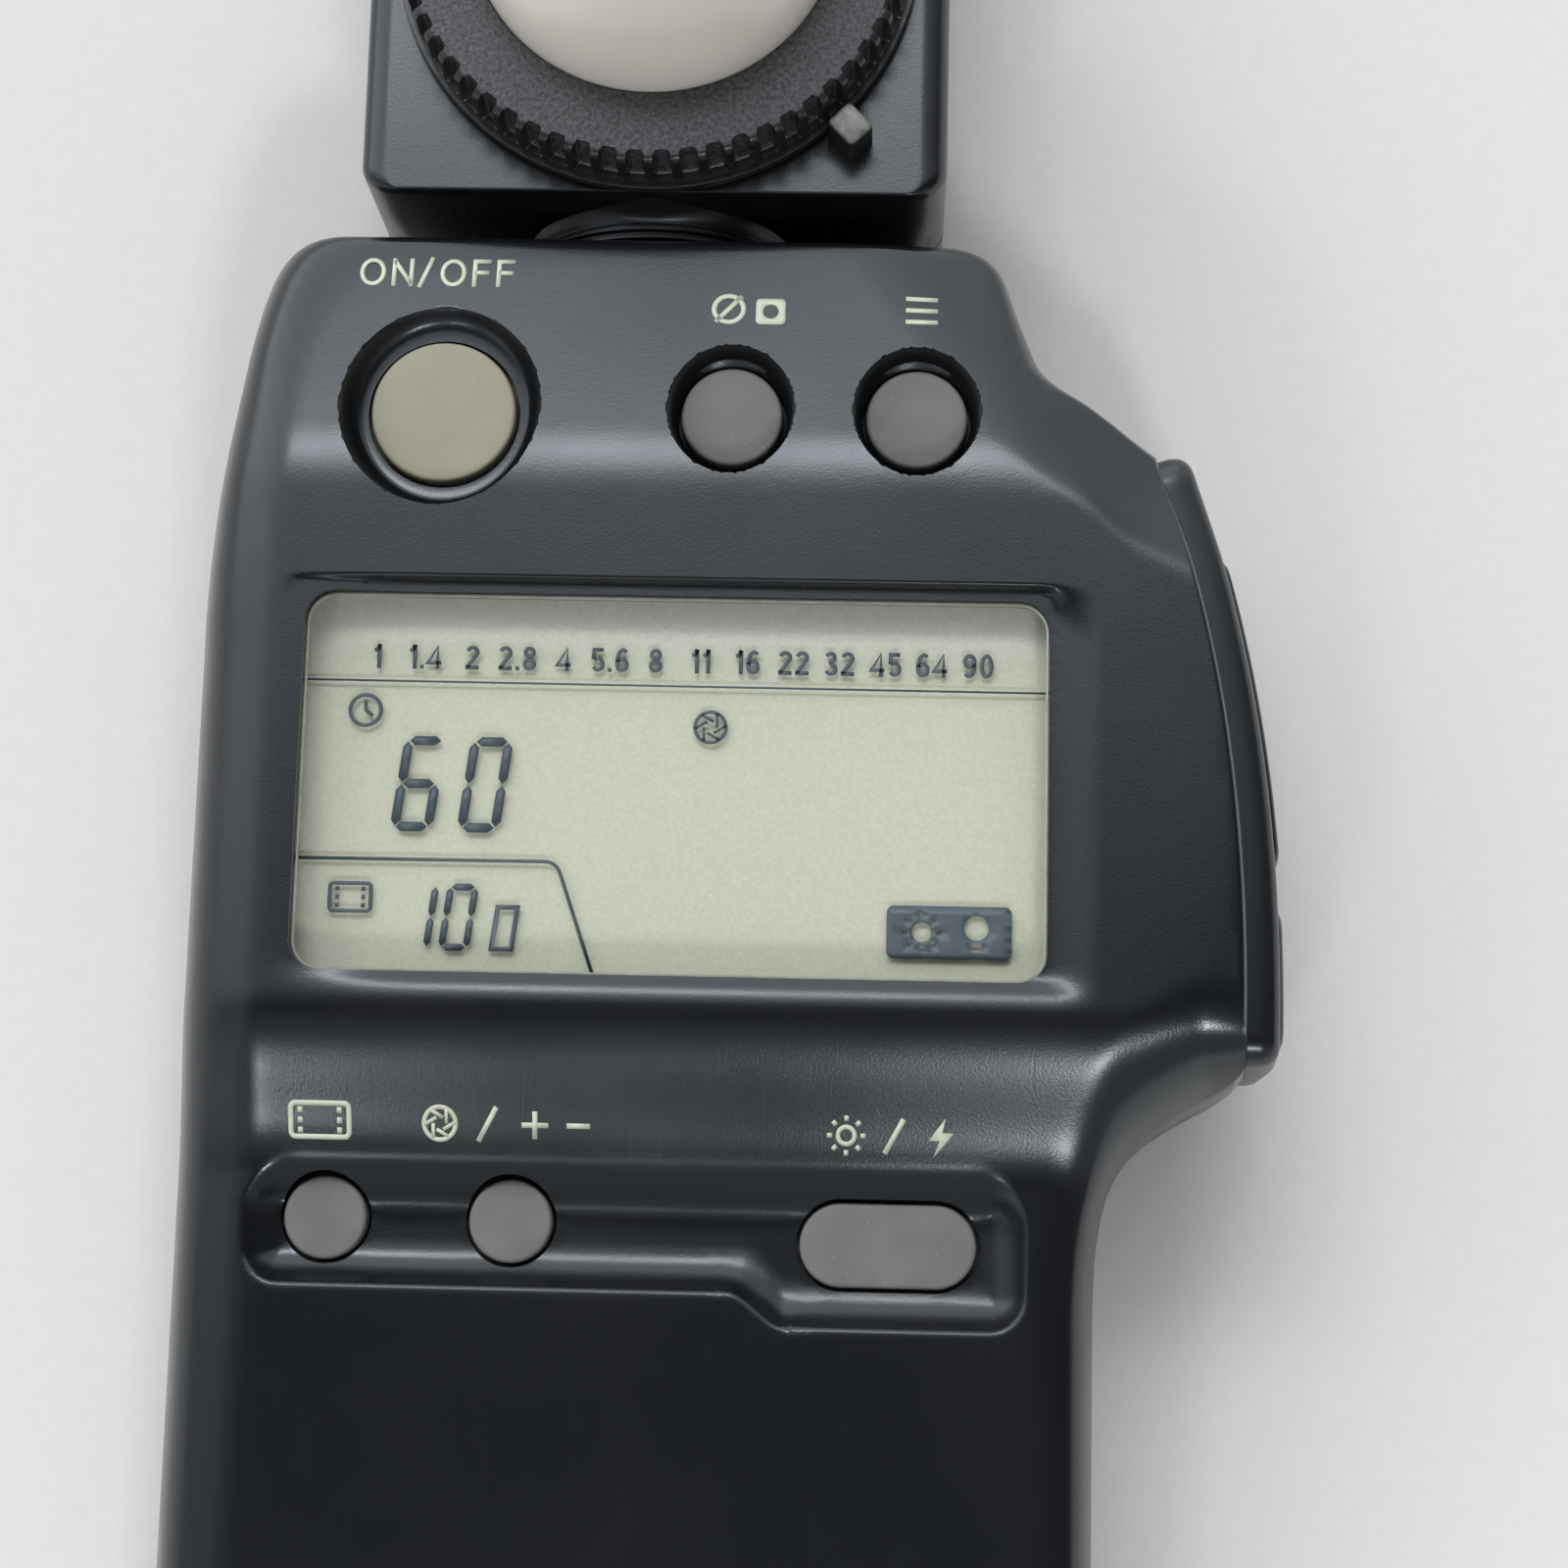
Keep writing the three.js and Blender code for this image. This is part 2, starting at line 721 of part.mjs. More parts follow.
// The face seen from the side: flat display, slope to the head, slope to the grip
function faceProfile(drop) {
  const low = -overrun;
  const out = overrun;
  const slope = (displayHeight - topEdgeHeight) / (bodyTop - ridgeY);
  const gripSlope = (gripTopHeight - gripEndHeight) / (gripTopY - bodyBottom);
  return sideProfile([
    at(bodyBottom - out, low),
    at(bodyTop + out, low),
    at(bodyTop + out, topEdgeHeight - slope * out - drop),
    at(ridgeY, displayHeight - drop),
    at(lowerRidgeY, displayHeight - drop),
    ...scoopShares.map(([along, down]) => at(lowerRidgeY - (lowerRidgeY - gripTopY) * along,
      displayHeight - drop - (displayHeight - gripTopHeight) * down)),
    at(gripTopY, gripTopHeight - drop),
    at(bodyBottom - out, gripEndHeight - gripSlope * out - drop),
  ]);
}

// What the shoulder's slope takes off the display's upper right corner
function shoulderCut(drop) {
  const size = overallWidth;
  const block = new THREE.BoxGeometry(size, size, size);
  block.translate(0, size / 2, size / 2);
  block.rotateX(THREE.MathUtils.degToRad(-shoulderSlope));
  block.rotateZ(THREE.MathUtils.degToRad(-shoulderRidgeTurn));
  block.translate(shoulderInnerX, ridgeY - topFlank / 4, displayHeight - drop);
  return solidOf(block);
}

// The rear cover's outer form, with a rounded edge round the back
function rearForm() {
  const ring = (share, z) => outlinePoints(share).map((p) => new THREE.Vector3(p.x, p.y, z));
  return loft([
    ring(backEdgeShare, 0), ring(backEdgeShare * edgeRoundShare, backEdgeHeight * edgeRoundShare),
    ring(0, backEdgeHeight),
    ring(0, partingHeight - seamGap),
  ]);
}

function rearHollow() {
  const plan = inset(outlinePoints(rearHollowShare).map((p) => at(p.x, p.y)), caseWall);
  return prism(plan, caseWall, partingHeight + overrun);
}

// The pocket round the lower keys: deeper on the right of its S-shaped step
function pocketOutline(grow) {
  const left = pocketLeft - grow;
  const right = pocketRight + grow;
  const top = pocketTop + grow;
  const step = pocketStepY - grow;
  const bottom = pocketBottom - grow;
  const corner = pocketCorner;
  const run = pocketStepRun / 2;
  const shape = new THREE.Shape();
  shape.moveTo(left + corner, step);
  shape.lineTo(pocketStepX - run, step);
  shape.bezierCurveTo(pocketStepX, step, pocketStepX, bottom, pocketStepX + run, bottom);
  shape.lineTo(right - corner, bottom);
  shape.quadraticCurveTo(right, bottom, right, bottom + corner);
  shape.lineTo(right, top - corner);
  shape.quadraticCurveTo(right, top, right - corner, top);
  shape.lineTo(left + corner, top);
  shape.quadraticCurveTo(left, top, left, top - corner);
  shape.lineTo(left, step + corner);
  shape.quadraticCurveTo(left, step, left + corner, step);
  return shape.extractPoints(4).shape.slice(0, -1);
}

// Every face key: its place, radius, straight part and seat
const upperKey = { y: upperKeyY, radius: upperKeyRadius, dish: upperDishRadius, floor: upperFloor };
const lowerKey = { y: lowerKeyY, radius: lowerKeyRadius, floor: pocketFloor };
const powerKey = { y: upperKeyY, radius: powerRadius, dish: powerDishRadius, floor: powerFloor };
const faceKeys = [
  { name: 'power_button', x: powerX, ...powerKey },
  { name: 'average_button', x: averageX, ...upperKey },
  { name: 'memory_button', x: memoryX, ...upperKey },
  { name: 'iso_button', x: isoX, ...lowerKey },
  { name: 'aperture_button', x: apertureX, ...lowerKey },
  { name: 'mode_button', x: modeX, ...lowerKey, y: modeY, straight: modeLength - 2 * lowerKeyRadius },
];

// An upright stadium or disc for a key
function keyForm(key, radius, z0, z1) {
  const half = (key.straight || 0) / 2;
  if (!half) return post(key.x, key.y, radius, z0, z1);
  const reach = half + radius;
  const outline = roundedRectangle(key.x - reach, key.y - radius, key.x + reach, key.y + radius, radius);
  return prism(outline, z0, z1);
}

const casePosts = [
  [bodyLeft + casePostLeftIn, bodyTop - casePostTopIn],
  [upperRightX - casePostRightUpperIn, bodyTop - casePostTopIn],
  [bodyLeft + casePostLeftIn, bodyBottom + casePostBottomIn],
  [gripRight - casePostRightLowerIn, bodyBottom + casePostBottomIn],
];
const boardPosts = [
  [bodyLeft + boardPostLeftIn, boardPostY], [bodyRight - boardPostRightIn, boardPostY],
];
const postRadius = screwShank + screwPilotGap + postWall;

// The strap recess and its surrounding block, in the bottom wall
function strapBlock(z0, z1) {
  const half = strapGap / 2 + strapWall;
  return box(strapX - half, bodyBottom + caseWall / 2, z0, strapX + half,
    bodyBottom + strapDepth + strapWall, z1);
}

function strapHollow() {
  const half = strapGap / 2;
  const rise = strapRise / 2;
  const recess = box(strapX - half, bodyBottom - overrun, partingHeight - rise,
    strapX + half, bodyBottom + strapDepth, partingHeight + rise);
  const pinHole = new THREE.CylinderGeometry(strapPinRadius + fitGap / 2, strapPinRadius + fitGap / 2,
    strapGap + strapWall + fitGap, smallSides);
  pinHole.rotateZ(Math.PI / 2);
  pinHole.translate(strapX, bodyBottom + strapDepth / 2, partingHeight);
  return recess.add(solidOf(pinHole));
}

// What both covers leave open: the neck, the sync socket and the strap recess
function caseOpenings() {
  const neck = barrel(neckX, neckHeight, neckTubeRadius + neckRunGap + collarWall + fitGap,
    bodyTop - caseWall - overrun, bodyTop + overrun);
  const socket = barrel(syncX, syncHeight, syncRadius + fitGap, bodyBottom - overrun, bayLow + overrun / 2);
  return joined(neck, socket, strapHollow());
}

function frontCover() {
  let body = frontForm(0).subtract(frontForm(caseWall));
  const skin = displayHeight;
  const wells = faceKeys.filter((key) => key.dish).map((key) =>
    post(key.x, key.y, key.dish + wellWall, key.floor - keySkin, skin));
  const pocketPad = prism(inset(pocketOutline(0), -wellWall), pocketFloor - keySkin, skin);
  const windowPad = prism(windowOutline(windowLip + caseWall), displayHeight - caseWall - fitGap, skin);
  const posts = casePosts.map(([x, y]) => peg(x, y, postRadius, partingHeight + fitGap, skin));
  const pegs = boardPosts.map(([x, y]) => peg(x, y, boardPostRadius, boardTop + seamGap, skin));
  const strap = strapBlock(partingHeight, gripEndHeight);
  const added = joined(...wells, pocketPad, windowPad, ...posts, ...pegs, strap);
  body = body.add(added.intersect(frontForm(0)));
  const cuts = [caseOpenings()];
  for (const key of faceKeys) {
    cuts.push(keyForm(key, key.radius + keySlit, key.floor - overrun, skin + overrun));
    if (key.dish) {
      cuts.push(post(key.x, key.y, key.dish - dishTaper, key.floor, skin + overrun, key.dish + dishTaper));
    }
  }
  cuts.push(prism(pocketOutline(0), pocketFloor, skin + overrun));
  cuts.push(prism(windowOutline(keySlit / 2), skin - overrun, skin + overrun));
  cuts.push(prism(windowOutline(windowLip + fitGap), skin - overrun,
    skin - frameRecess - windowDrop + fitGap));
  cuts.push(prism(frameOutline(), skin - frameRecess, skin + overrun));
  for (const [x, y] of casePosts) {
    cuts.push(peg(x, y, screwShank + screwPilotGap, 0, screwSink + screwLength + fitGap));
  }
  for (const [x, y] of boardPosts) {
    cuts.push(peg(x, y, boardScrewRadius + screwPilotGap, 0, boardTop - boardThickness + boardScrewLength));
  }
  cuts.push(sideSlots());
  return body.subtract(joined(...cuts));
}

function windowOutline(grow) {
  return roundedRectangle(windowX - windowWidth / 2 - grow, windowY - windowDepth / 2 - grow,
    windowX + windowWidth / 2 + grow, windowY + windowDepth / 2 + grow, windowCorner + grow / 2);
}

function frameOutline() {
  return roundedRectangle(windowX - windowWidth / 2 - frameLeft, windowY - windowDepth / 2 - frameBottom,
    windowX + windowWidth / 2 + frameRight, windowY + windowDepth / 2 + frameTop, windowCorner + frameTop);
}

// Where the stems of the side keys pass the case wall
function sideSlots() {
  const half = sideStemSize / 2 + fitGap;
  const slots = sideStems().map(({ x, y }) => box(x - overrun, y - half, sideKeyMiddle - half,
    x + overrun, y + half, sideKeyMiddle + half));
  return joined(...slots);
}

// Middles of the stems behind the rocker's two ends and behind the measuring button
function sideStems() {
  const seam = seamCurve();
  const reach = rockerEndShare - rockerStartShare;
  return [rockerStartShare + reach * stemInShare, rockerEndShare - reach * stemInShare,
    (measureStartShare + measureEndShare) / 2].map((share) => seam.getPoint(share));
}

function rearCover() {
  let body = rearForm().subtract(rearHollow());
  const holes = [caseOpenings()];
  const posts = casePosts.map(([x, y]) => peg(x, y, screwHeadRadius + fitGap + postWall, caseWall / 2,
    partingHeight - seamGap, postRadius));
  const half = doorWidth / 2 + fitGap;
  const mouth = doorWidth / 2 - doorLipWidth;
  const ledgeTop = doorThickness + fitGap + doorLedge;
  const surround = box(cellX - half - doorSurround, bodyBottom, caseWall / 2, cellX + half + doorSurround,
    doorHigh + doorSurround, ledgeTop);
  const bayWalls = [-1, 1].map((side) => slab(cellX + side * (mouth + doorLipWidth / 2),
    (cellLow + cellHigh) / 2, doorLipWidth, cellLength, ledgeTop / 2, partingHeight - caseWall));
  const block = strapBlock(caseWall / 2, partingHeight - seamGap);
  body = body.add(joined(...posts, surround, ...bayWalls, block).intersect(rearForm()));
  for (const [x, y] of casePosts) {
    holes.push(peg(x, y, screwShank + screwPilotGap, 0, partingHeight + overrun));
    holes.push(peg(x, y, screwHeadRadius + fitGap, -overrun, screwSink + screwHeadHeight + fitGap));
  }
  holes.push(box(cellX - half, bodyBottom - overrun, -overrun, cellX + half, doorHigh + fitGap,
    doorThickness + fitGap));
  holes.push(box(cellX - mouth, bayLow, -overrun, cellX + mouth, cellHigh + cellNipLength + fitGap,
    ledgeTop + overrun / 2));
  holes.push(slab(neckX, plateY, plateWidth + fitGap, plateLength + fitGap, -overrun, plateThickness));
  return body.subtract(joined(...holes));
}

// Battery places along Y
const bayLow = bodyBottom + bottomFlank * rearHollowShare + caseWall;
const cellLow = bayLow + fitGap + springHeight + fitGap;
const cellHigh = cellLow + cellLength;
const doorHigh = cellHigh + cellNipLength + doorRunOn;
const cellHeight = doorThickness + cellBackGap + cellRadius;
const bayRoom = cellRadius + fitGap;

function batteryDoor() {
  const half = doorWidth / 2;
  const outline = roundedRectangle(cellX - half, bodyBottom, cellX + half, doorHigh, pocketCorner);
  const plate = prism(outline, 0, doorThickness);
  const grooves = Array.from({ length: thumbRibs }, (_, i) => slab(cellX, bodyBottom + cornerRadius
    + i * thumbRibPitch, thumbRibLength, thumbRibPitch / 2, -overrun, thumbRibHeight));
  return plate.intersect(rearForm()).subtract(joined(...grooves));
}

function batteryCell() {
  const y0 = cellLow;
  const edge = cellNipLength / 2;
  return turnedAlongY([
    [0, y0], [cellRadius - edge, y0], [cellRadius, y0 + edge], [cellRadius, cellHigh - edge],
    [cellRadius - edge, cellHigh], [cellNipRadius, cellHigh], [cellNipRadius, cellHigh + cellNipLength],
    [0, cellHigh + cellNipLength],
  ], cellX, cellHeight, roundSides);
}

// The positive contact: a leaf against the cell's nipple, bent over under the board
function positiveContact() {
  const y = cellHigh + cellNipLength + fitGap;
  const half = contactWidth / 2;
  const top = boardTop - boardThickness - seamGap;
  const leaf = box(cellX - half, y, cellHeight - half, cellX + half, y + contactThickness, top);
  const foot = box(cellX - half, y, top - contactThickness, cellX + half, y + half, top);
  return leaf.add(foot);
}

// The negative contact: a wire coil that tapers towards the cell
function contactSpring() {
  class Coil extends THREE.Curve {
    getPoint(t) {
      const turn = 2 * Math.PI * springTurns * t;
      const radius = springRadius * (1 - t * springTaperShare);
      const start = bayLow + fitGap + springWire;
      return new THREE.Vector3(cellX + radius * Math.cos(turn), start + (springHeight - 2 * springWire) * t,
        cellHeight + radius * Math.sin(turn));
    }
  }
  const section = new THREE.Shape();
  section.absarc(0, 0, springWire, 0, Math.PI * 2);
  return solidOf(new THREE.ExtrudeGeometry(section, {
    steps: springTurns * springSteps, extrudePath: new Coil(), curveSegments: 3, bevelEnabled: false,
  }));
}

function displayWindow() {
  const top = displayHeight - frameRecess - windowDrop;
  const lip = prism(windowOutline(windowLip), top - windowLipThickness, top);
  return prism(windowOutline(0), top - windowLipThickness, top + windowThickness / 2).add(lip);
}

const lcdTop = displayHeight - frameRecess - windowDrop - windowLipThickness - lcdDrop;
const lcdBottom = lcdTop - lcdThickness;
const holderBottom = lcdTop - holderDepth;

function lcdPanel() {
  const lower = slab(windowX, windowY, windowWidth + 2 * lcdSideMargin, windowDepth + 2 * lcdMargin,
    lcdBottom, (lcdTop + lcdBottom) / 2);
  const upper = slab(windowX, windowY, windowWidth + 2 * lcdSideMargin, windowDepth + lcdMargin,
    lcdBottom, lcdTop);
  return lower.add(upper);
}

function lcdHolder() {
  const width = windowWidth + 2 * (lcdSideMargin + fitGap + holderSideWall);
  const depth = windowDepth + 2 * (lcdMargin + fitGap + holderWall);
  const frame = slab(windowX, windowY, width, depth, holderBottom, lcdTop);
  const seat = slab(windowX, windowY, windowWidth + 2 * (lcdSideMargin + fitGap),
    windowDepth + 2 * (lcdMargin + fitGap), lcdBottom - fitGap, lcdTop + overrun);
  const light = slab(windowX, windowY, windowWidth - 2 * holderLedge,
    windowDepth - 2 * holderLedge - 2 * zebraWidth, holderBottom - overrun, lcdTop);
  const slots = [-1, 1].map((side) => slab(windowX, zebraY(side), windowWidth * zebraSpanShare + 2 * fitGap,
    zebraWidth + 2 * fitGap, holderBottom - overrun, lcdTop));
  return frame.subtract(joined(seat, light, ...slots));
}

function zebraY(side) {
  return windowY + side * (windowDepth / 2 + lcdMargin - zebraInset);
}

function zebraConnector(side) {
  return slab(windowX, zebraY(side), windowWidth * zebraSpanShare, zebraWidth,
    boardTop + seamGap, lcdBottom - seamGap);
}

// The main board, with a notch for the battery between the lower keys
function mainBoard() {
  const z0 = boardTop - boardThickness;
  const edge = sideBoardX() - sideBoardThickness - fitGap;
  const board = box(boardLeft, boardLower, z0, edge, boardUpper, boardTop);
  const notch = (x0, y0, x1, y1) => box(x0, y0, z0 - overrun, x1, y1, boardTop + overrun);
  const right = edge + overrun;
  const cuts = [
    notch(cellX - bayRoom, boardLower - overrun, cellX + bayRoom, cellHigh + cellNipLength + fitGap),
    notch(gripRight - rightFlank, boardLower - overrun, right, sweepEndY + cornerRadius),
    notch(upperRightX, shoulderY - cornerRadius / 2, right, boardUpper + overrun),
    ...boardPosts.map(([x, y]) => peg(x, y, boardScrewRadius + fitGap, z0 - overrun, boardTop + overrun)),
  ];
  return board.subtract(joined(...cuts));
}

function boardScrew(x, y) {
  const seat = boardTop - boardThickness - seamGap;
  return joined(
    peg(x, y, boardScrewHead, seat - boardScrewHeadHeight, seat),
    peg(x, y, boardScrewRadius, seat - boardScrewHeadHeight / 2, seat + boardScrewLength),
  ).subtract(cross(x, y, seat - boardScrewHeadHeight - overrun, seat - boardScrewHeadHeight / 2));
}

// The cross recess of a screw
function cross(x, y, z0, z1) {
  return slab(x, y, crossLength, crossWidth, z0, z1).add(slab(x, y, crossWidth, crossLength, z0, z1));
}

// A case or head screw driven in from the back
function backScrew(x, y, length, sink) {
  const body = joined(
    peg(x, y, screwHeadRadius, sink, sink + screwHeadHeight),
    peg(x, y, screwShank, sink + screwHeadHeight / 2, sink + length),
  );
  return body.subtract(cross(x, y, sink - overrun, sink + crossDepth));
}

function faceKey(key) {
  const top = key.floor + keyProud;
  const flangeTop = key.floor - keySkin - fitGap;
  const bottom = boardTop + seamGap + matThickness + matLift + keyTravel;
  return joined(
    keyForm(key, key.radius, flangeTop - keyFlangeThickness / 2, top),
    keyForm(key, key.radius + keyFlange, flangeTop - keyFlangeThickness, flangeTop),
    keyForm(key, key.radius * keyStemShare, bottom, flangeTop),
  );
}

// A rubber mat under a group of keys, with a nub under each
function keyMat(keys) {
  const z0 = boardTop + seamGap;
  const reach = (key) => key.radius + matMargin + (key.straight || 0) / 2;
  const x0 = Math.min(...keys.map((key) => key.x - reach(key)));
  const x1 = Math.max(...keys.map((key) => key.x + reach(key)));
  const half = Math.min(...keys.map((key) => key.radius)) + matMargin / 4;
  const y0 = Math.min(...keys.map((key) => key.y)) - half;
  const y1 = Math.max(...keys.map((key) => key.y)) + half;
  const sheet = prism(roundedRectangle(x0, y0, x1, y1, matMargin / 2), z0, z0 + matThickness);
  const nubs = keys.map((key) => peg(key.x, key.y, nubRadius, z0 + matThickness / 2,
    z0 + matThickness + matLift - seamGap));
  return joined(sheet, ...nubs);
}

// Plan points between two distances outside the seam, over a stretch of it
function seamBand(from, to, inner, outer, steps) {
  const seam = seamCurve();
  const rail = (distance) => Array.from({ length: steps + 1 }, (_, i) => {
    const t = from + (to - from) * i / steps;
    const along = seam.getTangent(t);
    return seam.getPoint(t).add(at(along.y, -along.x).multiplyScalar(distance));
  });
  const out = rail(outer);
  const back = rail(inner).reverse();
  return [...out, ...back];
}

function sidePanel() {
  const rings = [
    seamBand(panelStartShare, panelEndShare, fitGap, panelThickness - panelBevel / 2, panelSteps),
    seamBand(panelStartShare, panelEndShare, fitGap, panelThickness, panelSteps),
  ];
  const lift = (plan, z) => plan.map((p) => new THREE.Vector3(p.x, p.y, z));
  const body = loft([
    lift(rings[0], panelLow), lift(rings[1], panelLow + panelBevel),
    lift(rings[1], panelHigh - panelBevel), lift(rings[0], panelHigh),
  ]);
  const rocker = sideKeyWindow(rockerStartShare, rockerEndShare, rockerHalfHeight);
  const measure = sideKeyWindow(measureStartShare, measureEndShare, measureHalfHeight);
  return body.subtract(rocker.add(measure));
}

function sideKeyWindow(from, to, half) {
  const slack = fitGap / seamCurve().getLength();
  return prism(seamBand(from - slack, to + slack, -overrun, panelThickness + overrun, panelSteps / 2),
    sideKeyMiddle - half - fitGap, sideKeyMiddle + half + fitGap);
}

// The up and down rocker, tilting about an upright pin in its middle
function upDownRocker() {
  const plan = seamBand(rockerStartShare, rockerEndShare, sideKeyLift, panelThickness + rockerProud,
    panelSteps);
  const body = prism(plan, sideKeyMiddle - rockerHalfHeight, sideKeyMiddle + rockerHalfHeight);
  return joined(body, ...sideStems().slice(0, 2).map(sideStem));
}

// A stem from behind a side key, through the case wall
function sideStem({ x, y }) {
  const half = sideStemSize / 2;
  return box(sideBoardX() + fitGap + keyTravel, y - half, sideKeyMiddle - half,
    x + (sideKeyLift + panelThickness) / 2 + fitGap, y + half, sideKeyMiddle + half);
}

function measuringButton() {
  const plan = seamBand(measureStartShare, measureEndShare, sideKeyLift + fitGap / 2,
    panelThickness + measureProud, panelSteps / 2);
  const body = prism(plan, sideKeyMiddle - measureHalfHeight, sideKeyMiddle + measureHalfHeight);
  return body.add(sideStem(sideStems()[2]));
}

// The outer face of the board behind the side keys
function sideBoardX() {
  return Math.min(...sideStems().map((stem) => stem.x)) - sideStemLength - fitGap - keyTravel;
}

function sideSwitchBoard() {
  const places = sideStems().map((stem) => stem.y);
  return box(sideBoardX() - sideBoardThickness, Math.min(...places) - sideBoardMargin,
    sideKeyMiddle - sideBoardHeight / 2, sideBoardX(), Math.max(...places) + sideBoardMargin,
    sideKeyMiddle + sideBoardHeight / 2);
}

// The flanged bush that the head's neck turns in
function neckCollar() {
  const bore = neckTubeRadius + neckRunGap;
  const spigot = bore + collarWall;
  const y0 = bodyTop - caseWall - collarInside;
  const y1 = bodyTop + seamGap;
  const y2 = y1 + collarFlangeThickness;
  const groove = collarFlangeThickness / 3;
  const grooveRadius = collarFlange - groove;
  return turnedAlongY([
    [bore, y0], [spigot, y0], [spigot, y1], [collarFlange, y1], [collarFlange, y1 + groove],
    [grooveRadius, y1 + groove], [grooveRadius, y1 + 2 * groove], [grooveRadius - groove, y1 + 2 * groove],
    [grooveRadius - groove, y2], [bore, y2], [bore, y0],
  ], neckX, neckHeight);
}

// The hollow neck, fixed in the head, with a flared shoulder under it
function neckTube() {
  const y0 = bodyTop - tubeInBody - clipThickness;
  const flareTop = headBottom - seamGap;
  const shoulder = bodyTop + seamGap + collarFlangeThickness + fitGap / 2;
  const y1 = headBottom + headWall + tubeInHead;
  const slotLow = bodyTop - caseWall - collarInside - fitGap - clipThickness;
  const slotHigh = slotLow + clipThickness + fitGap / 2;
  const slotRadius = (neckTubeRadius + neckBore) / 2;
  return turnedAlongY([
    [neckBore, y0], [neckTubeRadius, y0], [neckTubeRadius, slotLow - fitGap / 2],
    [slotRadius, slotLow - fitGap / 2],
    [slotRadius, slotHigh], [neckTubeRadius, slotHigh], [neckTubeRadius, shoulder],
    [collarFlange - fitGap, shoulder], [collarFlange, flareTop - flareThickness],
    [flareRadius, flareTop], [neckTubeRadius, flareTop], [neckTubeRadius, y1], [neckBore, y1], [neckBore, y0],
  ], neckX, neckHeight);
}

// The spring clip in the neck's groove, open on one side
function retainingClip() {
  const y0 = bodyTop - caseWall - collarInside - fitGap - clipThickness;
  const inner = (neckTubeRadius + neckBore) / 2 + fitGap / 2;
  const ring = turnedAlongY([
    [inner, y0], [clipRadius, y0], [clipRadius, y0 + clipThickness], [inner, y0 + clipThickness], [inner, y0],
  ], neckX, neckHeight);
  return ring.subtract(box(neckX - clipGap / 2, y0 - overrun, neckHeight - 2 * clipRadius,
    neckX + clipGap / 2, y0 + overrun, neckHeight));
}

// A leaf spring in the body that presses a ball against the neck
function detentSpring() {
  const z = neckHeight - neckTubeRadius - fitGap - 2 * detentBallRadius - contactThickness - seamGap;
  const y = bodyTop - tubeInBody;
  return box(neckX - detentLength / 2, y - detentWidth, z, neckX + detentLength / 2, y, z + contactThickness);
}

function detentBall() {
  const ball = new THREE.SphereGeometry(detentBallRadius, smallSides, smallSides / 2);
  ball.translate(neckX, bodyTop - tubeInBody - detentWidth / 2,
    neckHeight - neckTubeRadius - fitGap - detentBallRadius);
  return solidOf(ball);
}

// The sensor's wires, running down the neck's own axis
function sensorWire() {
  const inHead = headBottom + headWall + tubeInHead + fitGap;
  return barrel(neckX, neckHeight, wireRadius, bodyTop - wireInBody, inHead, smallSides);
}

const headLeft = neckX - headWidth / 2;
const headRight = neckX + headWidth / 2;

// The head's outer block, with its edges rounded towards the face and the back
function headBlock(setIn, z0, z1) {
  const ring = (inward, z) => {
    const corner = Math.max(headCorner - inward, headCorner / 4);
    const plan = roundedRectangle(headLeft + inward, headBottom + inward, headRight - inward,
      headTop - inward, corner);
    return plan.map((p) => new THREE.Vector3(p.x, p.y, z));
  };
  const edge = headEdge;
  const round = edge * edgeRoundShare;
  const low = headBack + setIn;
  const high = headFace - setIn;
  const block = loft([
    ring(setIn + edge, low), ring(setIn + round, low + round), ring(setIn, low + edge),
    ring(setIn, high - edge), ring(setIn + round, high - round), ring(setIn + edge, high),
  ]);
  const band = box(headLeft - overrun, headBottom - overrun, z0, headRight + overrun, headTop + overrun, z1);
  return block.intersect(band);
}

const headPosts = [-1, 1].map((side) => [neckX + side * (headWidth / 2 - headPostIn),
  headTop - headPostY]);

function neckHole() {
  const inHead = headBottom + headWall + tubeInHead + fitGap;
  return barrel(neckX, neckHeight, neckTubeRadius + seamGap, headBottom - overrun, inHead);
}

function headFrontShell() {
  const z0 = headParting + seamGap;
  let body = headBlock(0, z0, headFace).subtract(headBlock(headWall, -overrun, headFace));
  const posts = headPosts.map(([x, y]) => peg(x, y, postRadius, z0 + fitGap, headFace - headWall / 2));
  body = body.add(joined(...posts));
  const pilots = headPosts.map(([x, y]) => peg(x, y, screwShank + screwPilotGap, 0,
    headBack + screwSink + screwLength + fitGap));
  const mouth = post(neckX, socketY, socketBore + headWall / 2 + fitGap, headFace - headWall - overrun,
    headFace + overrun);
  const lug = indexLugForm(seamGap, headFace - headWall / 2);
  return body.subtract(joined(...pilots, mouth, lug, neckHole()));
}

function headRearShell() {
  const body = headBlock(0, headBack, headParting).subtract(headBlock(headWall, headBack, headFace));
  const posts = headPosts.map(([x, y]) => peg(x, y, screwHeadRadius + fitGap + postWall,
    headBack + headWall / 2, headParting, postRadius));
  const holes = headPosts.flatMap(([x, y]) => [
    peg(x, y, screwShank + screwPilotGap, 0, headParting + overrun),
    peg(x, y, screwHeadRadius + fitGap, -overrun, headBack + screwSink + screwHeadHeight + fitGap),
  ]);
  return body.add(joined(...posts).intersect(headBlock(0, headBack, headParting)))
    .subtract(joined(...holes, neckHole()));
}

// The fixed ring that the diffuser locks on, let into the face
function bayonetSocket() {
  const low = headFace - socketSink;
  const spigot = socketBore + headWall / 2;
  return turned([
    [socketBore, low], [spigot, low], [spigot, headFace + seamGap], [socketRadius, headFace + seamGap],
    [socketRadius, headFace + socketHeight], [socketBore, headFace + socketHeight], [socketBore, low],
  ], neckX, socketY);
}

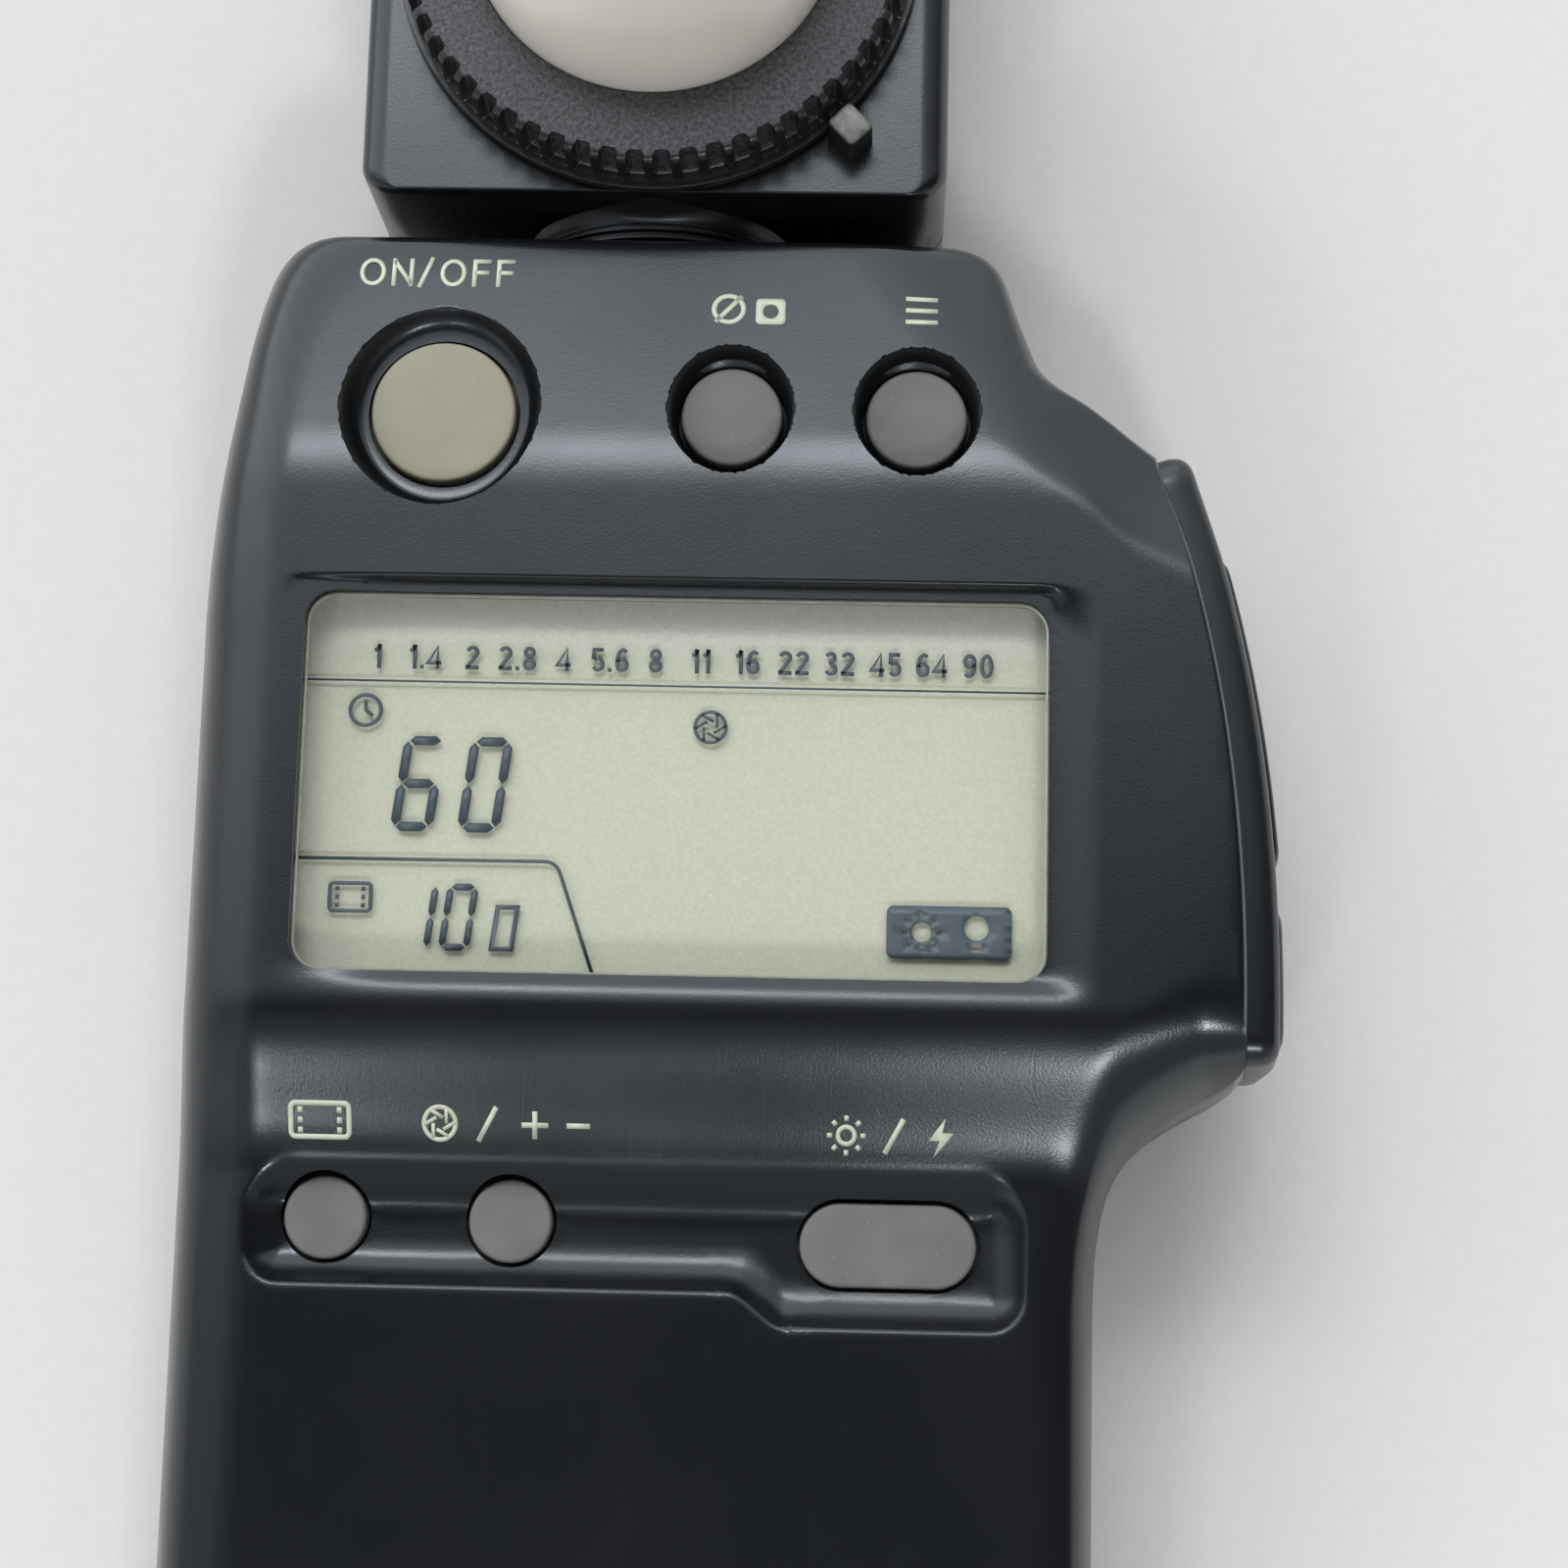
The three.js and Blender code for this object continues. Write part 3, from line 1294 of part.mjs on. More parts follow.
const cupTop = headFace - headWall - fitGap;
const cupBottom = cupTop - cupDepth;

// The black cup round the light cell
function cellCup() {
  const cup = post(neckX, socketY, cupRadius, cupBottom, cupTop);
  const seat = cupTop - filterDrop - filterThickness;
  const bore = post(neckX, socketY, filterRadius + fitGap, seat, cupTop + overrun);
  const well = post(neckX, socketY, filterRadius - cupWall, cupBottom - overrun, cupTop);
  return cup.subtract(joined(bore, well));
}

function filterGlass() {
  const top = cupTop - filterDrop;
  return post(neckX, socketY, filterRadius, top - filterThickness + seamGap, top);
}

const headBoardTop = cupBottom - seamGap;

function headBoard() {
  const low = headBoardTop - headBoardThickness;
  const board = slab(neckX, socketY, headWidth - headBoardMargins, headBoardLength, low, headBoardTop);
  const room = screwHeadRadius + postWall + 2 * fitGap;
  return board.subtract(joined(...headPosts.map(([x, y]) => peg(x, y, room, 0, headFace))));
}

function photocell() {
  const low = headBoardTop + seamGap;
  return slab(neckX, socketY, photocellSize, photocellSize, low, low + photocellHeight);
}

// The index lug beside the ring, square to it
function indexLugForm(grow, z0) {
  const reach = ringFlangeRadius + fitGap - grow;
  const block = new THREE.BoxGeometry(lugLength + 2 * grow, lugWidth + 2 * grow, headFace + lugHeight - z0);
  block.translate(reach + lugLength / 2 + grow, 0, (headFace + lugHeight + z0) / 2);
  block.rotateZ(THREE.MathUtils.degToRad(lugAngle));
  block.translate(neckX, socketY, 0);
  return solidOf(block);
}

// The knurled ring: flange, toothed rim, top plate with the dome's opening
function diffuserRing() {
  const low = headFace + fitGap;
  const rim = low + ringFlangeThickness;
  const shoulder = ringTop - toothDepth / 2;
  const mouth = domeRadius + fitGap;
  const body = turned([
    [ringSkirt, low], [ringFlangeRadius, low], [ringFlangeRadius, rim], [ringRadius, rim],
    [ringRadius, shoulder], [ringRadius - toothDepth / 2, ringTop], [mouth, ringTop],
    [mouth, ringTop - ringPlate], [ringSkirt, ringTop - ringPlate], [ringSkirt, low],
  ], neckX, socketY, toothCount);
  const width = 2 * Math.PI * ringRadius / toothCount * toothWidthShare;
  const cuts = Array.from({ length: toothCount }, (_, i) => {
    const block = new THREE.BoxGeometry(2 * toothDepth, width, ringTop - rim - toothDepth);
    block.translate(ringRadius, 0, (ringTop - toothDepth + rim) / 2);
    block.rotateZ(Math.PI * (2 * i + 1) / toothCount);
    block.translate(neckX, socketY, 0);
    return solidOf(block);
  });
  return body.subtract(wasm.Manifold.union(cuts));
}

// The white dome: a thin shell with a flange held under the ring
function diffuserDome() {
  const flangeTop = ringTop - ringPlate - fitGap;
  const flangeLow = flangeTop - domeFlangeThickness;
  const steps = 7;
  const shell = (radius, height) => Array.from({ length: steps + 1 }, (_, i) => {
    const turn = Math.PI / 2 * i / steps;
    return [radius * Math.cos(turn), ringTop + height * Math.sin(turn)];
  });
  const outer = shell(domeRadius, domeHeight);
  const inner = shell(domeRadius - domeWall, domeHeight - domeWall).reverse();
  outer[steps][0] = 0;
  inner[0][0] = 0;
  return turned([
    ...inner, [domeRadius - domeWall, flangeLow], [domeRadius + domeFlange, flangeLow],
    [domeRadius + domeFlange, flangeTop], [domeRadius, flangeTop], ...outer,
  ], neckX, socketY);
}

// Sync socket in the bottom end: sleeve, insulator and pin
function syncSleeve() {
  const y0 = bodyBottom + seamGap;
  const y1 = y0 + syncLength;
  const bore = syncRadius - syncWall;
  const inside = bayLow + fitGap;
  return turnedAlongY([
    [bore, y0], [syncRadius, y0], [syncRadius, inside], [syncFlange, inside], [syncFlange, inside + syncWall],
    [syncRadius, inside + syncWall], [syncRadius, y1], [bore, y1], [bore, y0],
  ], syncX, syncHeight, smallSides);
}

function syncInsulator() {
  const y1 = bodyBottom + seamGap + syncLength;
  return barrel(syncX, syncHeight, syncRadius - syncWall - seamGap, y1 - syncLength / 3, y1, smallSides)
    .subtract(barrel(syncX, syncHeight, syncPinRadius + seamGap, y1 - syncLength, y1 + overrun, smallSides));
}

function syncPin() {
  const y0 = bodyBottom + seamGap;
  const y1 = y0 + syncLength;
  return barrel(syncX, syncHeight, syncPinRadius, y1 - syncLength * 2 / 3, y1 + syncWall, smallSides);
}

function strapPin() {
  const half = (strapGap + strapWall) / 2;
  const pin = new THREE.CylinderGeometry(strapPinRadius, strapPinRadius, 2 * half, smallSides);
  pin.rotateZ(Math.PI / 2);
  pin.translate(strapX, bodyBottom + strapDepth / 2, partingHeight);
  return solidOf(pin);
}

function ratingPlate() {
  return slab(neckX, plateY, plateWidth, plateLength, 0, plateThickness - seamGap);
}

// The parts carried on the board
function processorChip() {
  const top = boardTop - boardThickness - seamGap;
  return slab(chipX, chipY, chipSize, chipSize, top - chipHeight, top);
}

function memoryChip() {
  const top = boardTop - boardThickness - seamGap;
  return slab(memoryChipX, chipY, memoryChipLength, memoryChipWidth, top - memoryChipHeight, top);
}

function clockCrystal() {
  const z = boardTop - boardThickness - seamGap - crystalRadius;
  const y = chipY + memoryChipWidth;
  return barrel(memoryChipX, z, crystalRadius, y, y + crystalLength, smallSides);
}

function bufferCapacitor() {
  const top = boardTop - boardThickness - seamGap;
  return peg(capacitorX, capacitorY, capacitorRadius, top - capacitorHeight, top);
}

const meter = new THREE.Group();

function place(name, solid, material, group = meter) {
  group.add(meshOf(name, solid, material));
}

place('front_cover', frontCover(), materials.case);
place('rear_cover', rearCover(), materials.case);
place('display_window', displayWindow(), materials.glass);
place('lcd_panel', lcdPanel(), materials.lcd);
place('lcd_holder', lcdHolder(), materials.moulding);
place('zebra_connector_upper', zebraConnector(1), materials.zebra);
place('zebra_connector_lower', zebraConnector(-1), materials.zebra);
place('main_board', mainBoard(), materials.board);
place('processor_chip', processorChip(), materials.chip);
place('memory_chip', memoryChip(), materials.chip);
place('clock_crystal', clockCrystal(), materials.metal);
place('buffer_capacitor', bufferCapacitor(), materials.chip);
place('key_mat_upper', keyMat(faceKeys.slice(0, 3)), materials.rubber);
place('key_mat_lower', keyMat(faceKeys.slice(3, 5)), materials.rubber);
place('key_mat_mode', keyMat(faceKeys.slice(5)), materials.rubber);
boardPosts.forEach(([x, y], i) => place('board_screw_' + (i + 1), boardScrew(x, y), materials.metal));
casePosts.forEach(([x, y], i) => {
  place('case_screw_' + (i + 1), backScrew(x, y, screwLength, screwSink), materials.metal);
});
place('side_panel', sidePanel(), materials.panel);
place('side_switch_board', sideSwitchBoard(), materials.board);
place('battery_cell', batteryCell(), materials.battery);
place('positive_contact', positiveContact(), materials.brass);
place('contact_spring', contactSpring(), materials.metal);
place('sync_sleeve', syncSleeve(), materials.metal);
place('sync_insulator', syncInsulator(), materials.moulding);
place('sync_pin', syncPin(), materials.brass);
place('strap_pin', strapPin(), materials.metal);
place('rating_plate', ratingPlate(), materials.plate);
place('neck_collar', neckCollar(), materials.ring);
place('detent_spring', detentSpring(), materials.brass);
place('detent_ball', detentBall(), materials.metal);
place('sensor_wire', sensorWire(), materials.wire);

const head = new THREE.Group();
meter.add(head);
place('head_front_shell', headFrontShell(), materials.head, head);
place('head_rear_shell', headRearShell(), materials.head, head);
place('neck_tube', neckTube(), materials.ring, head);
place('retaining_clip', retainingClip(), materials.metal, head);
place('bayonet_socket', bayonetSocket(), materials.moulding, head);
place('index_lug', indexLugForm(0, headFace - headWall / 2 + seamGap), materials.ring, head);
place('cell_cup', cellCup(), materials.moulding, head);
place('filter_glass', filterGlass(), materials.filter, head);
place('photocell', photocell(), materials.silicon, head);
place('head_board', headBoard(), materials.board, head);
headPosts.forEach(([x, y], i) => {
  place('head_screw_' + (i + 1), backScrew(x, y, screwLength, headBack + screwSink), materials.metal, head);
});

const diffuser = new THREE.Group();
head.add(diffuser);
place('diffuser_ring', diffuserRing(), materials.ring, diffuser);
place('diffuser_dome', diffuserDome(), materials.dome, diffuser);

faceKeys.forEach((key) => {
  place(key.name, faceKey(key), key.name === 'power_button' ? materials.powerKey : materials.greyKey);
});
place('up_down_rocker', upDownRocker(), materials.panel);
place('measuring_button', measuringButton(), materials.panel);
place('battery_door', batteryDoor(), materials.case);

export default meter;
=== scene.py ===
# Handheld light meter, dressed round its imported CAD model. It lies on its back, display up,
# sensor head towards +Y and side keys towards +X. Sizes are in millimetres until a mesh is made.
import math

import bmesh
import bpy
import numpy as np
from mathutils import Matrix
from mathutils.geometry import delaunay_2d_cdt


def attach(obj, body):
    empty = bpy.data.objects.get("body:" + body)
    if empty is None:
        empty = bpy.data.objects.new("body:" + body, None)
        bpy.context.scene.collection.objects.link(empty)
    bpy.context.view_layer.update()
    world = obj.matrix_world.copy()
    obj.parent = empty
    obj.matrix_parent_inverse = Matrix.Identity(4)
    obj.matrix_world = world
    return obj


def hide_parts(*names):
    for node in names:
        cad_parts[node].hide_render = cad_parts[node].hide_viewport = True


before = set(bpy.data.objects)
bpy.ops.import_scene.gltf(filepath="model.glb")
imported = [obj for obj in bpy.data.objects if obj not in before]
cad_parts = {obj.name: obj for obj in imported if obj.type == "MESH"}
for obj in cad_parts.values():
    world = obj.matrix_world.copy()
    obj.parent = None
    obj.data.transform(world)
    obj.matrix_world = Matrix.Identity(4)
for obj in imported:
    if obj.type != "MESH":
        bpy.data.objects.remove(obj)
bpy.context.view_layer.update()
MM = 0.001


# Camera: a phone held above the grip and tilted about ten degrees towards the head.
# Its axes are given in the model's frame: to the right, down and ahead.
def linked(name, data):
    """An object of this name for a mesh, a lamp or a camera, in the scene."""
    made = bpy.data.objects.new(name, data)
    bpy.context.scene.collection.objects.link(made)
    return made


eye_place = np.array([8.81, -36.65, 209.83]) * MM
eye_right = [0.9994, 0.02352, -0.02559]
eye_down = [0.01845, -0.98297, -0.18282]
eye_ahead = [-0.02945, 0.18223, -0.98281]
axes = np.eye(4)
axes[:3, 0], axes[:3, 1], axes[:3, 2] = eye_right, -np.array(eye_down), -np.array(eye_ahead)
axes[:3, 3] = eye_place
eye = linked("camera", bpy.data.cameras.new("camera"))
eye.matrix_world = Matrix(axes.tolist())
eye.data.lens, eye.data.sensor_width, eye.data.clip_start = 72, 36, 0.01
bpy.context.scene.camera = eye
bpy.context.scene.view_settings.view_transform = "Standard"


# Table and light: a white sheet of paper, a broad soft lamp beyond the head, two small ceiling
# lamps behind the camera, and the room's own light, which comes mostly from beyond the head.
def linear(colour):
    """An sRGB hex colour as linear red, green, blue and alpha."""
    part = np.array([int(colour[i:i + 2], 16) for i in (1, 3, 5)]) / 255
    low = part <= 0.04045
    return (*np.where(low, part / 12.92, ((part + 0.055) / 1.055) ** 2.4).tolist(), 1.0)


def node(tree, kind, values=(), **settings):
    """Add a node. Values go into its inputs by name or number, or in order when they are a list; an
    output, or a node's first output, is linked."""
    made = tree.nodes.new("ShaderNode" + kind)
    for name, value in settings.items():
        setattr(made, name, value)
    for key, value in values.items() if isinstance(values, dict) else enumerate(values):
        if isinstance(value, bpy.types.Node):
            value = value.outputs[0]
        if isinstance(value, bpy.types.NodeSocket):
            tree.links.new(value, made.inputs[key])
        else:
            made.inputs[key].default_value = value
    return made


def blank_material(name):
    """A named material, its empty node tree, and the place on the object that its nodes start from."""
    material = bpy.data.materials.new(name)
    material.use_nodes = True
    tree = material.node_tree
    tree.nodes.clear()
    return material, tree, node(tree, "TexCoord").outputs["Object"]


def mesh_piece(name, points, faces, material, sharp=35):
    """A mesh object from points in millimetres; edges above the sharp angle stay crisp."""
    mesh = bpy.data.meshes.new(name)
    mesh.from_pydata((np.asarray(points, float) * MM).tolist(), [], faces)
    mesh.shade_smooth()
    mesh.set_sharp_from_angle(angle=math.radians(sharp))
    mesh.materials.append(material)
    return linked(name, mesh)


floor_reach = 900
paper, tree, place = blank_material("matt white paper")
fibre = node(tree, "TexNoise", {"Vector": place, "Scale": 900.0, "Detail": 3.0})
tint = node(tree, "Mix", {"Factor": fibre, 6: linear("#d8d8d6"), 7: linear("#dededc")}, data_type="RGBA")
diffuse = node(tree, "BsdfDiffuse", {"Color": tint.outputs[2], "Roughness": 0.6})
node(tree, "OutputMaterial", {"Surface": diffuse})
sheet = floor_reach * np.array([(-1, -1, 0), (1, -1, 0), (1, 1, 0), (-1, 1, 0)])
mesh_piece("table_paper", sheet, [(0, 1, 2, 3)], paper)

room = bpy.data.worlds.new("plain room")
room.use_nodes = True
bpy.context.scene.world = room
tree = room.node_tree
tree.nodes.clear()
heading = node(tree, "TexCoord").outputs["Generated"]
split = node(tree, "SeparateXYZ", {"Vector": heading})
beyond = node(tree, "VectorMath", [heading, (-0.22, 0.95, 0.2)], operation="DOT_PRODUCT").outputs["Value"]
aside, ahead = split.outputs["X"], split.outputs["Y"]
# Where each glow starts and is full, in parts of a unit heading, and its strength at both: the wall
# beyond the head, its bright upper part and how that ends to the right, then left, right and behind
glows = [node(tree, "MapRange", [way, start, full, low, high], interpolation_type="SMOOTHSTEP")
         for way, start, full, low, high in (
             (beyond, 0.19, 0.5, 0.02, 1.15), (beyond, 0.46, 0.6, 0.0, 0.95), (aside, 0.12, 0.4, 1.0, 0.1),
             (aside, -0.42, -0.75, 0.0, 0.45), (aside, 0.35, 0.8, 0.0, 0.05), (ahead, -0.02, -0.6, 0.0, 0.45))]
glow = node(tree, "Math", [glows[1], glows[2], glows[0]], operation="MULTIPLY_ADD")
for more in glows[3:]:
    glow = node(tree, "Math", [glow, more], operation="ADD")
ray = node(tree, "LightPath")
seen = node(tree, "Math", [ray.outputs["Is Camera Ray"], ray.outputs["Is Transmission Ray"]], operation="MAXIMUM")
plain = node(tree, "Background", {"Color": linear("#fafcff"), "Strength": glow})
white = node(tree, "Background", {"Color": linear("#ebebea"), "Strength": 1.0})
node(tree, "OutputWorld", {"Surface": node(tree, "MixShader", [seen, plain, white])})


def soft_lamp(name, place, aim, width, length, power):
    """A rectangular area lamp at a place in metres, aimed at a point."""
    lamp = linked(name, bpy.data.lights.new(name, "AREA"))
    lamp.data.shape = "RECTANGLE"
    lamp.data.size, lamp.data.size_y, lamp.data.energy = width, length, power
    back = np.array(place, float) - np.array(aim, float)
    back /= np.linalg.norm(back)
    side = np.cross([0.0, 1.0, 0.0], back)
    side /= np.linalg.norm(side)
    axes = np.eye(4)
    axes[:3, 0], axes[:3, 1], axes[:3, 2], axes[:3, 3] = side, np.cross(back, side), back, place
    lamp.matrix_world = Matrix(axes.tolist())


soft_lamp("window_beyond_head", (-0.1, 0.5, 0.8), (0, 0.02, 0), 0.5, 0.16, 2.5)
soft_lamp("ceiling_behind_left", (-0.26, -0.61, 0.62), (0, 0, 0), 0.12, 0.1, 0.65)
soft_lamp("ceiling_behind_right", (0.17, -0.57, 0.68), (0, 0, 0), 0.12, 0.1, 1.7)


# Front cover: display housing, upper slope and grip in one moulding of black ABS, ejected with
# a fine satin grain and rubbed glossy where a thumb passes; four screws hold it from the back.
body_left, grip_right, body_bottom, body_top = -34.5, 22.6, -74.5, 33.8
face_height, grip_corner, grip_top = 25.0, 7, -33.5
seam_points = np.array([(32.05, -18.9), (32.6, -5.37), (31.1, 7.37), (26.6, 20.9)])
flanks = {"left": 6.4, "right": 4.3, "bottom": 3.8, "top": 1.5, "seam": 0.7}
side_wall, top_wall, seam_wall = 12.5, 17.5, 23.2


def bent(points, count):
    """Points on a Bezier curve of any degree, without its last one, at even or at given shares."""
    points = np.asarray(points, float)
    t = (np.arange(count) / count if np.ndim(count) == 0 else count)[:, None]
    degree = len(points) - 1
    return sum(math.comb(degree, k) * t ** k * (1 - t) ** (degree - k) * p for k, p in enumerate(points))


def seam_at(t):
    """Places on the side seam's Bezier curve, t from its low end to the shoulder."""
    return bent(seam_points, np.asarray(t, float))


# Columns of the bottom end, closer at the strap slot and the sync socket's hole
strap_slot, strap_top = (-21.0, -15.0), 11.5
sync_x, sync_z, sync_radius = 9.7, 9.0, 3.3
end_columns = np.concatenate([np.linspace(body_left + grip_corner, strap_slot[0] - 0.02, 10),
                              np.linspace(*strap_slot, 10), np.linspace(strap_slot[1] + 0.02, 5.7, 30),
                              sync_x - sync_radius * np.cos(np.linspace(0, np.pi, 31)), np.linspace(13.5, 15, 4)])
end_shares = (end_columns - end_columns[0]) / (grip_right - body_left - 2 * grip_corner)


def case_outline(share, setting=1.0):
    """The case's plan outline, 0 at its widest and 1 where the flanks meet the face, anticlockwise.
    Columns are x, y and the height where the side wall ends; setting scales the number of points."""
    right = grip_right - flanks["right"] * share
    bottom = body_bottom + flanks["bottom"] * share
    left = body_left + flanks["left"] * share
    fall = flanks["top"] * share
    top = body_top - fall
    corner = grip_corner - (grip_corner - flanks["bottom"]) * share / 2
    bow = corner * 0.45
    seam = seam_at(np.linspace(0.02 + 0.14 * share, 1 - 0.02 * share, int(60 * setting) + 1))
    seam = seam - [flanks["seam"] * share, 0]
    low, high = seam[0], seam[-1]
    # Where its curves meet: the sweep out to the seam, the shoulder's two corners, and the left one
    sweep = low - [2.25, 2.01]
    rise = (sweep[1] - grip_top) * 0.6 + 1.14 * share
    inner = np.array([18.6, 26.2]) - fall
    upper = np.array([16.9 - fall, 30.6 - 0.2 * flanks["top"] * share])
    shoulder = np.array([left + 2.5 * (1 - share / 2), 25.5])
    top_left, top_right = np.array([left + 7.05, top]), np.array([13.06 - fall, top])
    turn_x, turn_y = seam_points[-1]
    reach, lift = turn_x - inner[0], inner[1] - turn_y
    curves = [
        ([(left + corner, bottom), (right - corner, bottom)], len(end_shares)),
        ([(right - corner, bottom), (right - bow, bottom), (right, bottom + bow), (right, bottom + corner)], 12),
        ([(right, bottom + corner), (right, grip_top)], 44),
        ([(right, grip_top), (right + 0.99 * share, grip_top + rise), (sweep[0] - 5.7, sweep[1] - 3.04), sweep], 30),
        ([sweep, sweep + [1.02, 0.54], low - [0, 1.05], low], 10),
        (None, 60),
        ([high, (turn_x - 0.42 * reach, turn_y + 0.45 * lift), inner + [0.12 * reach, -0.5 * lift], inner], 18),
        ([inner, ((inner + upper) / 2 * [1, 0.84] + [0, 0.16 * inner[1]]), upper], 12),
        ([upper, (upper[0] - 0.8, top), top_right], 10),
        ([top_right, top_left], 48),
        ([top_left, top_left - [2.94, 0], shoulder + [0.91, 0.62 * (top - 25.5)], shoulder], 16),
        ([shoulder, shoulder - [1.0, 5.0], (left, 13.78), (left, 6.0)], 24),
        ([(left, 6.0), (left, bottom + corner)], 76),
        ([(left, bottom + corner), (left, bottom + bow), (left + bow, bottom), (left + corner, bottom)], 12),
    ]
    walls = [side_wall, 14.5, 16.5, 16.5, 18.0] + [seam_wall] * 2 + [top_wall] * 5 + [side_wall] * 3
    rows = []
    for k, (points, count) in enumerate(curves):
        count = int(count * setting)
        run = seam[:-1] if points is None else bent(points, end_shares if k == 0 and setting == 1 else count)
        height = walls[k] + (walls[k + 1] - walls[k]) * np.arange(count) / count
        rows.append(np.column_stack([run, height]))
    return np.concatenate(rows)


def soft_min(a, b, width):
    """The lower of two heights, rounded over where they are closer than the width."""
    mix = np.clip(0.5 + 0.5 * (b - a) / width, 0, 1)
    return b + (a - b) * mix - width * mix * (1 - mix)


def smooth(x, low, high):
    """0 below low, 1 above high, and an S-curve between."""
    t = np.clip((x - low) / (high - low), 0, 1)
    return t * t * (3 - 2 * t)


# The face's slopes: where each starts, and how far it runs and falls
slope_from, slope_run, slope_fall = 17.85, 15.95, 3.5
shoulder_x, shoulder_y, shoulder_turn, shoulder_fall = 18.6, 17.925, math.radians(28), math.radians(22)
grip_height, grip_from, grip_run, grip_rise = 21.6, -25.5, 49.0, 2.0


def face_level(x, y):
    """Height of the bare face: flat display, slope to the head, S-shaped step down to the grip,
    which falls slightly to its end, and the shoulder's slope off the upper right corner."""
    head_slope = face_height - (y - slope_from) * slope_fall / slope_run
    level = soft_min(np.full_like(y, face_height), head_slope, 0.45)
    along = (x - shoulder_x) * math.sin(shoulder_turn) + (y - shoulder_y) * math.cos(shoulder_turn)
    level = soft_min(level, face_height - along * math.tan(shoulder_fall), 0.45)
    grip = grip_height + (y - grip_from) * grip_rise / grip_run
    return level + (grip - face_height) * smooth(-y, 15.6, 25.9)


# Keys: middle, radius, seat and half length; a dish has its half width, its length to its width, the
# radius where its wall starts, the power that the wall rises by and the softness of its rim
power_key = {"x": -18.6, "y": 21.3, "radius": 4.5, "floor": 21.9,
             "dish": 6.25, "long": 1.065, "start": 4.85, "power": 3.2, "rim": 0.32}
average_key = {"x": -0.6, "y": 21.3, "radius": 3.15, "floor": 21.7,
               "dish": 3.95, "long": 1.105, "start": 3.35, "power": 1.6, "rim": 0.8}
memory_key = {**average_key, "x": 10.9}
iso_key = {"x": -23.9, "y": -28.5, "floor": 19.6, "radius": 2.5}
aperture_key = {**iso_key, "x": -12.7}
mode_key = {**iso_key, "x": 10.0, "y": -29.5, "half": 2.8}
dished_keys, pocket_keys = (power_key, average_key, memory_key), (iso_key, aperture_key, mode_key)
keys = dished_keys + pocket_keys
key_slit = 0.25
window_box, window_corner = (-26.1, -14.0, 19.1, 9.2), 1.8
frame_box, frame_recess = (-27.6, -15.3, 21.2, 10.2), 0.6
pocket_box, pocket_corner, pocket_floor = (-28.6, -32.5, 18.2, -25.6), 2.2, 19.6
step_from, step_run, step_drop = 0.4, 3.5, 2.0


def pocket_low(x):
    """The key pocket's lower edge, which steps down in an S on the right."""
    run = np.clip((x - step_from) / step_run, 0, 1)
    return pocket_box[1] - step_drop * run * run * (3 - 2 * run)


def pocket_distance(x, y):
    """Distance inside the key pocket; below, it is taken square to the lower edge."""
    left, _, right, top = pocket_box
    run = np.clip((x - step_from) / step_run, 0, 1)
    lean = step_drop * 6 * run * (1 - run) / step_run
    across = np.minimum(x - left, right - x)
    along = np.minimum(top - y, (y - pocket_low(x)) / np.hypot(1, lean))
    inner = np.hypot(np.maximum(pocket_corner - across, 0), np.maximum(pocket_corner - along, 0))
    return np.where(inner > 0, pocket_corner - inner, np.minimum(across, along))


def flank_rise(share):
    """How far up a flank is at its share of the way in: steep at the wall, 24 degrees at the crease."""
    t = np.clip(share, 0, 1)
    return 0.34 * t + 0.66 * (1 - (1 - t) ** 6) + 0.34 * np.maximum(share - 1, 0)


def dished(level, x, y, key):
    """A dish let into the face, a little longer than wide: its wall rises as a power of the way
    out, to a rim of even width that follows the face."""
    start, power, rim = key["start"], key["power"], key["rim"]
    away = np.hypot(x - key["x"], (y - key["y"]) / key["long"])
    out = np.maximum(away - start, 0) / (key["dish"] - start)
    up = soft_min(out, np.ones_like(out), rim) ** power
    return key["floor"] + (level - key["floor"]) * np.minimum(up / (1 - rim / 4) ** power, 1)


# Softness of the crease between face and flank: its least, its share of the flank's width, and what
# the elbow beside the step adds; then how far a side wall stays below the face, how wide the frame's
# edge is above and below, and how far in the pocket's two wall shapes reach
crease_least, crease_share, crease_elbow, elbow_x, elbow_y = 0.08, 0.12, 0.2, 27.5, -17.0
wall_clear, frame_edge, frame_ease, pocket_reach, pocket_roll = 0.7, 0.42, 1.8, 5.8, 2.7


